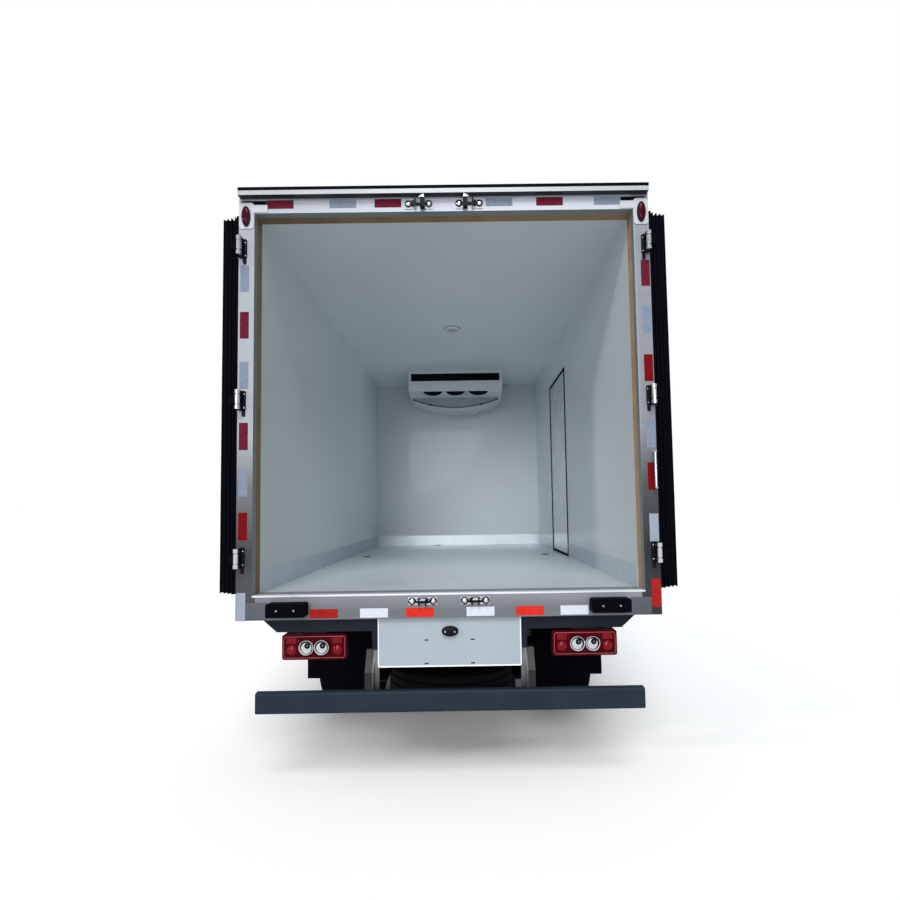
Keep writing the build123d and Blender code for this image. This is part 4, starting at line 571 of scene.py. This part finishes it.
# Keepers on header and sill: a dark plate with two white-headed bolts in dark washers
keeper_x, sill_keeper_z, header_keeper_z = 0.136, 0.992, 3.104
keeper_y = rear_y - 0.004
washer = [(0, 0.019), (0.004, 0.019), (0.004, 0.012), (0.0, 0.012)]
bolt_head = [(0, 0.0125), (0.004, 0.0125), (0.007, 0.008), (0.007, 0)]
thumb = [(-0.018, -0.006), (0.016, -0.01), (0.012, 0.012)]
s, dark = Shape(), Shape()
for side in SIDES:
    x, inward = side * keeper_x, -side
    for z, half_height in ((sill_keeper_z, 0.01), (header_keeper_z, 0.008)):
        dark.plate(rounded(0.074, half_height, 0.007), (x, rear_y - 0.001, z), 0.004)
        for bolt_x in span(x, 0.11):
            dark.turned((bolt_x, keeper_y, z), REAR, washer, 24, closed=True)
            s.turned((bolt_x, keeper_y, z), REAR, bolt_head, 24)
    # The header's catch: a dark jaw and stop with a bright thumb
    jaw = x + inward * 0.022
    dark.box(span(jaw, 0.024), (rear_y - 0.036, keeper_y), (3.074, 3.122))
    dark.box(span(x - inward * 0.03, 0.014), (rear_y - 0.016, keeper_y), (3.09, 3.118))
    s.plate([(inward * a, b) for a, b in thumb][::inward], (jaw - inward * 0.004, rear_y - 0.037, 3.13), 0.003)
    # The sill's: a bright bridge and a dark jaw
    s.box(span(x, 0.068), (rear_y - 0.0056, keeper_y), (0.993, 1.001))
    dark.box(span(jaw, 0.016), (rear_y - 0.018, keeper_y), (0.982, 1.006))
s.done("keeper_bolts", bright, bevel=0.001, slot="stainless")
dark.done("keeper_washers", black_plastic, slot="black_rubber")

# Underride bar: stays with a flange each, and end caps; stays and flanges carry painted shade, dark at the bottom and
# pale at the top like the shadowed floor beyond, and near-black outboard of a narrow inner strip
stay_x, stay_half = 0.4225, 0.0228
repaint("underride_bar", stay_painted_shade, lambda c, n: 0.395 < abs(c.x) < 0.45 and c.z > 0.531)
repaint("underride_bar", stay_painted_shade, lambda c, n: abs(abs(c.x) - stay_x) < stay_half and c.y > rear_y + 0.075)
s = Shape()
s.pair((0.373, 0.4), (rear_y + 0.0765, rear_y + 0.0805), (0.47, 0.741))
s.done("stay_flanges", stay_painted_shade, bevel=0.0006, slot="black_steel")
bar_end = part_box("underride_bar")[1].x
s = Shape()
s.pair((bar_end - 0.002, bar_end + 0.004), (rear_y + 0.029, rear_y + 0.069), (0.425, 0.525))
s.done("bar_caps", black_plastic, bevel=0.003, slot="black_rubber")

# The rear bearer's ends reach out under the sill
bearer_low, bearer_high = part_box("cross_bearers")
end_x, top_z = bearer_high.x, bearer_high.z
s = Shape()
for side in SIDES:
    gusset = [(side * (end_x - 0.002), top_z), (side * (end_x - 0.048), top_z - 0.068), (side * (end_x + 0.028), top_z)]
    s.plate(gusset[::-side], (0, bearer_low.y + 0.012, 0), 0.012)
s.done("bearer_gussets", bearer_paint, slot="black_steel")

# Load space: ceiling lamp, floor plugs, and painted light on the kick plate at the far end, which takes a lighter copy
# of the kick plates' aluminium
lamp_at, down = (0.0, rear_y + 1.862, ceiling_z), (0, 0, -1)
s = Shape()
s.turned(lamp_at, down, [(-0.002, 0.066), (0.01, 0.066), (0.016, 0.06), (0.016, 0.047), (0.01, 0.045)], 48, closed=True)
s.index = 1
s.turned(lamp_at, down, [(0.0, 0.046), (0.013, 0.044), (0.02, 0.03), (0.023, 0.0)], 40)
s.index = 2
s.turned(lamp_at, down, [(-0.001, 0.072), (0.003, 0.072), (0.003, 0.065), (-0.001, 0.065)], 48, closed=True)
s.done("ceiling_lamp", lamp_white, clear_lens, plastic_grey, slot="plate_white")
s = Shape()
for x, y in ((-0.849, 2.341), (-0.253, 3.92), (0.849, 2.341)):
    s.turned((x, rear_y + y, floor_z), UP, [(-0.004, 0.036), (0.002, 0.036), (0.004, 0.03), (0.004, 0)], 28)
s.done("floor_plugs", rubber, slot="black_rubber")
repaint("kick_plates", kick_alu_lit, lambda c, n: n.y < -SQUARE and c.y > front_wall_y - 0.02)

# Evaporator: black outlet and fan openings, grey tray, fascia, louvres, fan guards and a dark line along the tray
evap_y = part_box("evaporator")[0].y
fan_slope = Vector((0, 0.168, -0.043)).normalized()
fan_out = Vector((0, fan_slope.z, -fan_slope.y))
fan_edge = Vector((0, evap_y, ceiling_z - 0.234))


def in_outlet(c):
    return evap_y + 0.004 < c.y < evap_y + 0.06 and ceiling_z - 0.118 < c.z < ceiling_z - 0.001 and abs(c.x) < 0.512


def in_fan(c):
    near = evap_y < c.y < evap_y + 0.2 and ceiling_z - 0.28 < c.z < ceiling_z - 0.12 and abs(c.x) < 0.4
    return near and (c - fan_edge).dot(fan_out) < -0.002


repaint("evaporator", black_plastic, lambda c, n: in_outlet(c) or in_fan(c))
repaint("evaporator", tray_grey, lambda c, n: c.z < ceiling_z - 0.281 and n.z > -0.5)
s = Shape()
s.box((-0.537, 0.537), (evap_y - 0.0015, evap_y + 0.001), (ceiling_z - 0.2335, ceiling_z - 0.119))
s.done("evaporator_fascia", fascia_white, bevel=0.001, slot="white_panel")
s = Shape()
for k in range(19):
    s.box(span(-0.495 + 0.055 * k, 0.003), (evap_y + 0.012, evap_y + 0.045), (ceiling_z - 0.114, ceiling_z - 0.032))
s.box((-0.508, 0.508), (evap_y + 0.01, evap_y + 0.014), (ceiling_z - 0.0745, ceiling_z - 0.0715))
s.done("outlet_louvres", black_plastic, slot="black_rubber")
s = Shape()
for x in (-0.262, 0.0, 0.262):
    centre = fan_edge + Vector((x, 0, 0)) + fan_out * 0.001
    for radius in (0.04, 0.065, 0.09, 0.11):
        sweep = [radians(10 + 160 * k / 16) for k in range(17)]
        s.tube([centre + Vector((radius * cos(a), 0, 0)) + fan_slope * radius * sin(a) for a in sweep], 0.0016, 6)
s.done("fan_guards", plastic_dark, slot="grey_plastic")
tray_half, tray_sag = 0.5, 0.095
s = Shape()
edge = []
for k in range(21):
    x = -tray_half + 0.05 * k
    sag = tray_sag * (1 - (x / tray_half) ** 2)
    edge.append((x, evap_y + 0.166, ceiling_z - 0.301 - sag + 0.003))
s.tube(edge, 0.006, 8)
for x in (-0.3, 0.3):
    s.box(span(x, 0.024), (evap_y + 0.15, evap_y + 0.17), (ceiling_z - 0.372, ceiling_z - 0.35))
s.done("tray_edge", plastic_dark, slot="grey_plastic")

# Side door's gasket: a broad lip inside the load space and a narrow one outside
door_y = (rear_y + 2.88 - 0.83, rear_y + 2.88)
door_z = (floor_z + 0.005, 2.75)
s = Shape()
# Columns: x, width of the lip over the opening
for x, lip in (((opening_half - 0.006, opening_half + 0.004), 0.018), ((box_half - 0.012, box_half - 0.002), 0.004)):
    s.box(x, (door_y[0] - 0.003, door_y[0] + lip), door_z)
    s.box(x, (door_y[1] - lip, door_y[1] + 0.003), door_z)
    s.box(x, door_y, (door_z[0] - 0.002, door_z[0] + lip))
    s.box(x, door_y, (door_z[1] - lip, door_z[1] + 0.002))
s.done("side_door_gasket", rubber, slot="black_rubber")

# Outside of the box: white skins, aluminium edge rails, side lamps and a drip rail over the side door
for name in ("box_side_left", "box_side_right"):
    repaint(name, skin_white, lambda c, n: abs(c.x) > box_half - 0.004 and abs(n.x) > SQUARE)
repaint("box_roof", skin_white, lambda c, n: c.z > roof_z - 0.003 and n.z > SQUARE)
repaint("box_front_wall", skin_white, lambda c, n: n.y > SQUARE or abs(c.x) > box_half - 0.002 or c.z > roof_z - 0.002)
repaint("box_floor", chassis, lambda c, n: n.z < -SQUARE)
rail_width, rail_proud, rail_sunk = 0.055, 0.0015, 0.001
rail_y = (rear_y + 0.047, box_front_y)
face_x, wrap_x = (box_half - rail_sunk, box_half + rail_proud), (box_half - rail_width, box_half + rail_proud)
front_y, roof_rail_z = (box_front_y - rail_sunk, box_front_y + rail_proud), (roof_z - rail_sunk, roof_z + rail_proud)
s = Shape()
s.pair(face_x, rail_y, (roof_z - rail_width, roof_z + rail_proud))
s.pair(wrap_x, rail_y, roof_rail_z)
s.pair(face_x, rail_y, (sill_low, sill_low + rail_width))
s.pair(face_x, (box_front_y - rail_width, box_front_y + rail_proud), (sill_low, roof_z))
s.pair(wrap_x, front_y, (sill_low, roof_z))
s.box((-box_half, box_half), front_y, (roof_z - rail_width, roof_z + rail_proud))
s.done("edge_rails", alu, slot="bright_aluminium")
s = Shape()
for side in SIDES:
    for y in (-1.62, 0.06, 0.98):
        s.index = 0
        s.plate(rounded(0.055, 0.02, 0.006), (side * (box_half + 0.001), y, sill_low + 0.028), 0.01, (0, side, 0))
        s.index = 1
        s.plate(rounded(0.048, 0.014, 0.005), (side * (box_half + 0.0105), y, sill_low + 0.028), 0.007, (0, side, 0))
s.done("side_lamps", black_plastic, amber_lens, bevel=0.0015, slot="red_lens")
s = Shape()
s.box((box_half - 0.001, box_half + 0.016), (door_y[0] - 0.03, door_y[1] + 0.01),
      (door_z[1] + 0.014, door_z[1] + 0.026))
s.done("side_door_drip_rail", alu, bevel=0.003, slot="bright_aluminium")

# Condenser: wire guards over both dark fan openings, and dark louvres on its ends
cond_low, cond_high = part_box("condenser_unit")
guard_y, fan_z, fan_xs = cond_high.y + 0.004, cond_low.z + 0.27, (-0.33, 0.33)


def guard_spot(x, radius, a):
    """A point of the wire guard about the fan at x."""
    return x + radius * cos(a), guard_y, fan_z + radius * sin(a)


s = Shape()
for x in fan_xs:
    for radius in (0.045, 0.08, 0.115, 0.15, 0.185, 0.214):
        s.tube([guard_spot(x, radius, a) for a in ring_angles(48)], 0.0022, 6, closed=True)
    for a in ring_angles(8):
        s.rod(guard_spot(x, 0.045, a + 0.2), guard_spot(x, 0.22, a + 0.2), 0.0026, 8)
s.done("condenser_guards", plastic_dark, slot="grey_plastic")
repaint("condenser_unit", plastic_dark, lambda c, n: cond_high.y - 0.12 < c.y < cond_high.y - 0.004
        and any(hypot(c.x - x, c.z - fan_z) < 0.216 for x in fan_xs))
s = Shape()
for k in range(7):
    z = cond_low.z + 0.16 + 0.04 * k
    s.pair((cond_high.x - 0.001, cond_high.x + 0.004), (cond_low.y + 0.08, cond_low.y + 0.3), span(z, 0.024))
s.done("condenser_louvres", plastic_dark, bevel=0.003, slot="grey_plastic")


# Finding places on the CAD skins for the fittings of wheels and cab
class Probe:
    """Finds where a level line from outside first meets the named CAD nodes, and the normal there."""

    def __init__(self, *names):
        points, faces = [], []
        for name in names:
            o = nodes[name]
            base = len(points)
            points += [o.matrix_world @ v.co for v in o.data.vertices]
            faces += [[base + i for i in p.vertices] for p in o.data.polygons]
        self.tree = BVHTree.FromPolygons(points, faces)

    def from_side(self, side, y, z):
        return self.tree.ray_cast(Vector((side * 1.4, y, z)), Vector((-side, 0, 0)))[:2]

    def from_ahead(self, x, z):
        return self.tree.ray_cast(Vector((x, 4.0, z)), Vector(REAR))[:2]


# Wheels: tyres with ribs, grooves and notched shoulders; rims are the CAD wheels without their tyres
side_wall = [(-0.067, 0.204), (-0.072, 0.215), (-0.079, 0.232), (-0.0885, 0.265), (-0.096, 0.302),
             (-0.099, 0.33), (-0.0985, 0.352), (-0.0945, 0.369)]
tread = [(-0.086, 0.3865), (-0.05, 0.3868), (-0.0485, 0.3785), (-0.0435, 0.3785), (-0.042, 0.3869),
         (-0.0045, 0.387), (-0.003, 0.3785)]
half_tyre = side_wall + tread
tyre_outline = half_tyre + [(-a, r) for a, r in reversed(half_tyre)] + [(0.06, 0.2036), (-0.06, 0.2036)]
shoulder = len(side_wall)
notched = {shoulder - 1: 0.006, shoulder: 0.0055, shoulder + 1: 0.0035}
notched.update({2 * len(half_tyre) - 1 - row: depth for row, depth in list(notched.items())})
nut = [(0, 0.015), (0.005, 0.015), (0.005, 0.0125), (0.018, 0.0125), (0.02, 0.011), (0.028, 0.0075), (0.028, 0)]
hub_cap = [(0, 0.04), (0.006, 0.04), (0.01, 0.036), (0.01, 0.02), (0.013, 0.018), (0.013, 0)]
half_width, rim_radius, nut_circle = 0.1, 0.2031, 0.108


def dress_wheel(name, body, hub, axis, middles, rim_finish, kept_above=inf):
    """Tyres about a hub in place of a CAD wheel, whose faces beyond the rim go unless they lie above kept_above."""
    s = Shape()
    for middle in middles:
        s.turned(hub + axis * middle, axis, tyre_outline, 180, closed=True, notch=(5, notched))
    s.done(name + "_tyres", tyre_black, body=body, slot="tyre_rubber", stands_for=(name,))
    s = Shape()
    s.mesh.from_mesh(nodes[name].data)
    s.mesh.transform(nodes[name].matrix_world)
    spare = []
    for f in s.mesh.faces:
        centre = f.calc_center_median()
        away = centre - hub
        away -= axis * away.dot(axis)
        f.material_index = 0
        if away.length > rim_radius and centre.z <= kept_above:
            spare.append(f)
    bmesh.ops.delete(s.mesh, geom=spare, context="FACES")
    s.done(name + "_rims", rim_finish, body=body, slot="bright_aluminium")


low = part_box("spare_wheel")[0]
dress_wheel("spare_wheel", "truck", Vector((0, rear_y + 0.597, low.z + half_width)), Vector(UP), (0.0,), chassis,
            low.z + 0.205)
for name, body in (("front_wheel_left", "wheel_front_left"), ("front_wheel_right", "wheel_front_right"),
                   ("rear_wheels_left", "wheels_rear_left"), ("rear_wheels_right", "wheels_rear_right")):
    low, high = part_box(name)
    hub = Vector((0, (low.y + high.y) / 2, (low.z + high.z) / 2))
    middles = (low.x + half_width, high.x - half_width) if "rear" in name else ((low.x + high.x) / 2,)
    dress_wheel(name, body, hub, Vector(ACROSS), middles, rim_paint)
    side = -1 if high.x < 0 else 1
    on_wheel = Probe(name)
    s = Shape()
    for a in ring_angles(10):
        spot, _ = on_wheel.from_side(side, hub.y + nut_circle * cos(a), hub.z + nut_circle * sin(a))
        s.turned(spot - Vector((side * 0.002, 0, 0)), (side, 0, 0), nut, 6)
    spot, _ = on_wheel.from_side(side, hub.y, hub.z)
    s.turned(spot - Vector((side * 0.003, 0, 0)), (side, 0, 0), hub_cap, 32)
    s.rod((spot.x - side * 0.002, hub.y + 0.19, hub.z), (spot.x - side * 0.03, hub.y + 0.17, hub.z), 0.004, 8)
    s.done(name + "_nuts", stainless, body=body, slot="stainless")


# Cab: window seals
def outlines(name, test):
    """Closed paths round the faces of a CAD node that pass test(centre, normal)."""
    o = nodes[name]
    turn = o.matrix_world.to_3x3()
    spots = [tuple(round(v, 5) for v in o.matrix_world @ p.co) for p in o.data.vertices]
    count = {}
    for p in o.data.polygons:
        if test(o.matrix_world @ p.center, turn @ p.normal):
            corners = [spots[i] for i in p.vertices]
            for a, b in zip(corners, corners[1:] + corners[:1]):
                key = tuple(sorted((a, b)))
                count[key] = count.get(key, 0) + 1
    ahead = {}
    for a, b in sorted(key for key, uses in count.items() if uses == 1):
        ahead.setdefault(a, []).append(b)
        ahead.setdefault(b, []).append(a)
    loops = []
    while ahead:
        here = min(ahead)
        loop = []
        while here in ahead:
            loop.append(here)
            there = ahead.pop(here)
            here = next((t for t in there if t in ahead), None)
        if len(loop) > 3:
            loops.append(loop)
    return loops


# Columns: CAD node, piece, body, faces whose edge carries the seal
for name, piece, body, test in (
    ("cab_glass", "cab_glass_seal_front", "truck", lambda c, n: n.y > 0.3),
    ("cab_glass", "cab_glass_seal_back", "truck", lambda c, n: n.y < -0.3 and c.y < 1.6),
    ("cab_door_glass_left", "cab_door_glass_left_seal_front", "door_cab_left", lambda c, n: n.x < -0.5),
    ("cab_door_glass_right", "cab_door_glass_right_seal_front", "door_cab_right", lambda c, n: n.x > 0.5),
):
    s = Shape()
    for loop in outlines(name, test):
        s.tube(loop, 0.0085, 8, closed=True)
    s.done(piece, rubber, body=body, slot="black_rubber")

# Cab trim: mirror glass, mat and linings; handles on both doors and a lip round each wheel arch
on_cab = Probe("cab_front", "cab_sides", "cab_roof", "cab_floor", "front_bumper")
repaint("mirrors", mirror_glass, lambda c, n: n.y < -SQUARE and abs(c.x) > 1.0)
repaint("cab_floor", floor_mat, lambda c, n: n.z > SQUARE)
repaint("cab_back", plastic_grey, lambda c, n: n.y > SQUARE)
repaint("cab_roof", headliner, lambda c, n: n.z < -0.3)
handle_z, axle_y, axle_z, arch_radius = 1.27, 1.915, 0.387, 0.493
for side, name in ((-1, "left"), (1, "right")):
    repaint(f"cab_door_{name}", plastic_grey, lambda c, n: n.x * side < -0.6)
    on_door = Probe(f"cab_door_{name}")
    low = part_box(f"cab_door_{name}")[0]
    row = []
    for k in range(7):
        spot, _ = on_door.from_side(side, low.y + 0.06 + 0.03 * k, handle_z)
        rise = 0.006 + 0.016 * sin(pi * k / 6)
        row.append(spot + Vector((side * rise, 0, 0)))
    handle, recess = Shape(), Shape()
    handle.tube(row, 0.0095, 10)
    recess.plate(rounded(0.105, 0.036, 0.018), row[3] - Vector((side * 0.023, 0, 0)), 0.004, (0, side, 0))
    handle.done(f"cab_handle_{name}", black_plastic, body=f"door_cab_{name}", slot="grey_plastic")
    recess.done(f"cab_handle_seat_{name}", plastic_dark, body=f"door_cab_{name}", bevel=0.001, slot="grey_plastic")
    arch = []
    for k in range(25):
        a = radians(4 + 172 * k / 24)
        spot, _ = on_cab.from_side(side, axle_y + arch_radius * cos(a), axle_z + arch_radius * sin(a))
        if spot is not None and abs(spot.x) > 0.8:
            arch.append(spot)
    s = Shape()
    s.tube(arch, 0.011, 10)
    s.done(f"arch_lip_{name}", plastic_dark, slot="grey_plastic")

# Headlamps: two ringed lenses and an indicator on each
on_lamp = Probe("headlamps")
headlamp_z, radius = 0.805, 0.058
bowls, ambers = Shape(), Shape()
for side in SIDES:
    for x in (0.6, 0.73):
        spot, normal = on_lamp.from_ahead(side * x, headlamp_z)
        inner = radius - 0.008
        bowls.index = 0
        chrome = [(-0.002, radius), (0.003, radius), (0.003, inner), (-0.002, inner)]
        bowls.turned(spot, normal, chrome, 36, closed=True)
        bowls.index = 1
        bowls.turned(spot, normal, [(-0.001, inner), (0.004, radius - 0.014), (0.007, radius * 0.5), (0.008, 0)], 32)
    spot, normal = on_lamp.from_ahead(side * 0.838, headlamp_z)
    ambers.plate(rounded(0.03, 0.058, 0.01), spot + normal * 0.0005, 0.004, normal.cross(UP).normalized() * -1)
bowls.done("headlamp_bowls", bright, clear_lens, slot="clear_glass")
ambers.done("front_indicators", amber_lens, bevel=0.001, slot="red_lens")

# Wipers: a blade on the glass, a foot on the cab and a bowed arm between them
on_glass = Probe("cab_glass")
wipers = Shape()
for pivot, tip in ((-0.52, 0.02), (0.1, 0.64)):
    blade = []
    for k in range(9):
        spot, normal = on_glass.from_ahead(pivot + (tip - pivot) * k / 8, 1.462 + 0.035 * k / 8)
        blade.append(spot + normal * 0.012)
    wipers.tube(blade, 0.0065, 8)
    foot, normal = on_cab.from_ahead(pivot + 0.1, 1.35)
    wipers.turned(foot - normal * 0.002, normal, [(0, 0.018), (0.016, 0.018), (0.02, 0.012), (0.02, 0)], 20)
    bow = (foot + blade[4]) / 2 + normal * 0.03
    wipers.tube([foot + normal * 0.016, bow, blade[4] + normal * 0.006], 0.006, 8)
wipers.done("wipers", black_plastic, slot="grey_plastic")


# Seats: a plinth each, with crowned seat and back cushions and sewn channels
def cushion(name, middle, half, tilt):
    """A stuffed pad: a rounded block crowned on its broad faces and drawn in between its corners."""
    steps, roundness, waist = 26, 7, 0.035
    seams, seam_width, seam_depth = (-0.42, 0.0, 0.42), 0.035, 0.06
    lean = Matrix.Rotation(radians(tilt), 3, "X")
    index = {}
    points, faces = [], []

    def spot(u, v, w):
        key = (round(u, 4), round(v, 4), round(w, 4))
        if key not in index:
            length = (abs(u) ** roundness + abs(v) ** roundness + abs(w) ** roundness) ** (1 / roundness)
            a, b, c = u / length, v / length, w / length
            x = half[0] * a * (1 - waist * (1 - b * b))
            y = half[1] * b * (1 - waist * (1 - a * a))
            crown = 0.76 + 0.24 * (1 - a * a) * (1 - b * b)
            sewn = 1 - seam_depth * sum(exp(-((a - seam) / seam_width) ** 2) for seam in seams)
            index[key] = len(points)
            points.append(Vector(middle) + lean @ Vector((x, y, half[2] * c * crown * sewn)))
        return index[key]

    ticks = [-1 + 2 * k / steps for k in range(steps + 1)]
    for fixed in range(3):
        for end in SIDES:
            for i in range(steps):
                for j in range(steps):
                    corners = []
                    for p, q in ((i, j), (i + 1, j), (i + 1, j + 1), (i, j + 1)):
                        place = [ticks[p], ticks[q]]
                        place.insert(fixed, end)
                        corners.append(spot(*place))
                    faces.append(corners)
    s = Shape()
    s.add(points, faces)
    o = s.done(name, cloth_mid, slot="seat_cloth")
    return o


seat_low, seat_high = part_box("seats")
seat_rear = seat_low.y + 0.05
plinth = Shape()
for number, (left, right) in enumerate(((-0.755, -0.235), (-0.125, 0.31), (0.32, 0.755))):
    middle, half = (left + right) / 2, (right - left) / 2 - 0.004
    plinth.box((left + 0.03, right - 0.03), (seat_rear + 0.125, seat_high.y - 0.085),
               (seat_low.z + 0.001, seat_low.z + 0.165))
    cushion(f"seat_pad_{number}", (middle, seat_rear + 0.395, seat_low.z + 0.212), (half, 0.236, 0.058),
                        2.0)
    cushion(f"seat_back_{number}", (middle, seat_rear + 0.045, seat_low.z + 0.56), (half - 0.01, 0.325, 0.058),
            97.5)
plinth.done("seat_plinths", plastic_dark, bevel=0.01, slot="grey_plastic")
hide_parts("seats")

# Under the frame: battery lid and bolt heads along the rails
low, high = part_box("battery_box")
lid_x = (low.x + 0.05, high.x - 0.05) if low.x < 0 else (low.x - 0.004, high.x + 0.004)
s = Shape()
s.box(lid_x, (low.y - 0.004, high.y + 0.004), (high.z - 0.03, high.z + 0.004))
s.done("battery_lid", plastic_dark, bevel=0.006, slot="grey_plastic")
rail_low, rail_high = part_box("frame_rails")
s = Shape()
for side in SIDES:
    for k in range(18):
        y = rail_low.y + 0.14 + 0.3 * k
        for z in (rail_low.z + 0.04, rail_high.z - 0.04):
            s.turned((side * (rail_high.x - 0.001), y, z), (side, 0, 0), [(0, 0.011), (0.007, 0.01), (0.008, 0)], 6)
s.done("rail_bolts", chassis, slot="black_steel")


# Studio: a pale floor that runs into a white surround, a broad soft sun, one behind the camera and a low warm one
def stage_material(name, seen, lit):
    """Camera rays see one grey and other rays another, so that the floor shows white without lighting the truck."""
    m = bpy.data.materials.new(name)
    m.use_nodes = True
    t = m.node_tree
    path = t.nodes.new("ShaderNodeLightPath")
    mix = t.nodes.new("ShaderNodeMix")
    mix.data_type = "RGBA"
    fill(t, mix, {"A": (lit, lit, lit, 1), "B": (seen, seen, seen, 1), "Factor": path.outputs["Is Camera Ray"]})
    surface = {"Base Color": mix.outputs["Result"], "Roughness": 0.9, "Specular IOR Level": 0.0}
    fill(t, t.nodes["Principled BSDF"], surface)
    return m


ground_half = 400.0
corners = [(x * ground_half, y * ground_half, 0) for x, y in ((-1, -1), (1, -1), (1, 1), (-1, 1))]
ground_mesh = bpy.data.meshes.new("ground")
ground_mesh.from_pydata(corners, [], [(0, 1, 2, 3)])
ground = bpy.data.objects.new("ground", ground_mesh)
ground_mesh.materials.append(stage_material("ground_white", 1.13, 0.7))
scene.collection.objects.link(ground)

world = bpy.data.worlds.new("surround")
scene.world = world
world.use_nodes = True
wt = world.node_tree
fill(wt, wt.nodes["Background"], {"Color": (0.92, 0.96, 1.0, 1), "Strength": 0.46})
shown = shader(wt, "Background", {"Color": (1, 1, 1, 1), "Strength": 1.0})
path = wt.nodes.new("ShaderNodeLightPath")
mix = shader(wt, "MixShader", {"Fac": path.outputs["Is Camera Ray"], 1: wt.nodes["Background"].outputs["Background"],
                               2: shown.outputs["Background"]})
fill(wt, wt.nodes["World Output"], {"Surface": mix.outputs["Shader"]})


def sun(name, place, power, angle, colour=(1, 1, 1)):
    """A soft sun that shines from a place towards the middle of the frame."""
    data = bpy.data.lights.new(name, "SUN")
    data.energy, data.color, data.angle = power, colour, radians(angle)
    o = bpy.data.objects.new(name, data)
    o.location = place
    o.rotation_euler = (-Vector(place)).to_track_quat("-Z", "Y").to_euler()
    scene.collection.objects.link(o)


sun("broad_sun", (0.1, -6.8, 7.3), 1.75, 28)
sun("behind", (-1.4, -10.0, 2.15), 1.02, 22, (0.97, 0.985, 1.0))
sun("side_glow", (-2.034, -1.0, 0.78), 0.58, 5, (1.0, 0.955, 0.9))

# Camera where the photograph was taken: found from the corners of the load space
focal_px, centre_px, image_px = 536.9, (466.7, 480.4), 900
cam = bpy.data.cameras.new("photo")
cam.sensor_width = 36.0
cam.lens = cam.sensor_width * focal_px / image_px
cam.shift_x = -(centre_px[0] - image_px / 2) / image_px
cam.shift_y = (centre_px[1] - image_px / 2) / image_px
eye = bpy.data.objects.new("photo", cam)
yaw, pitch, roll = (radians(a) for a in (-0.24, 3.23, -0.85))
turn = Matrix.Rotation(yaw, 4, "Z") @ Matrix.Rotation(pi / 2 + pitch, 4, "X") @ Matrix.Rotation(roll, 4, "Z")
eye.matrix_world = Matrix.Translation((0.089, rear_y - 2.802, 1.454)) @ turn
scene.collection.objects.link(eye)
scene.camera = eye
scene.view_settings.view_transform = "Standard"
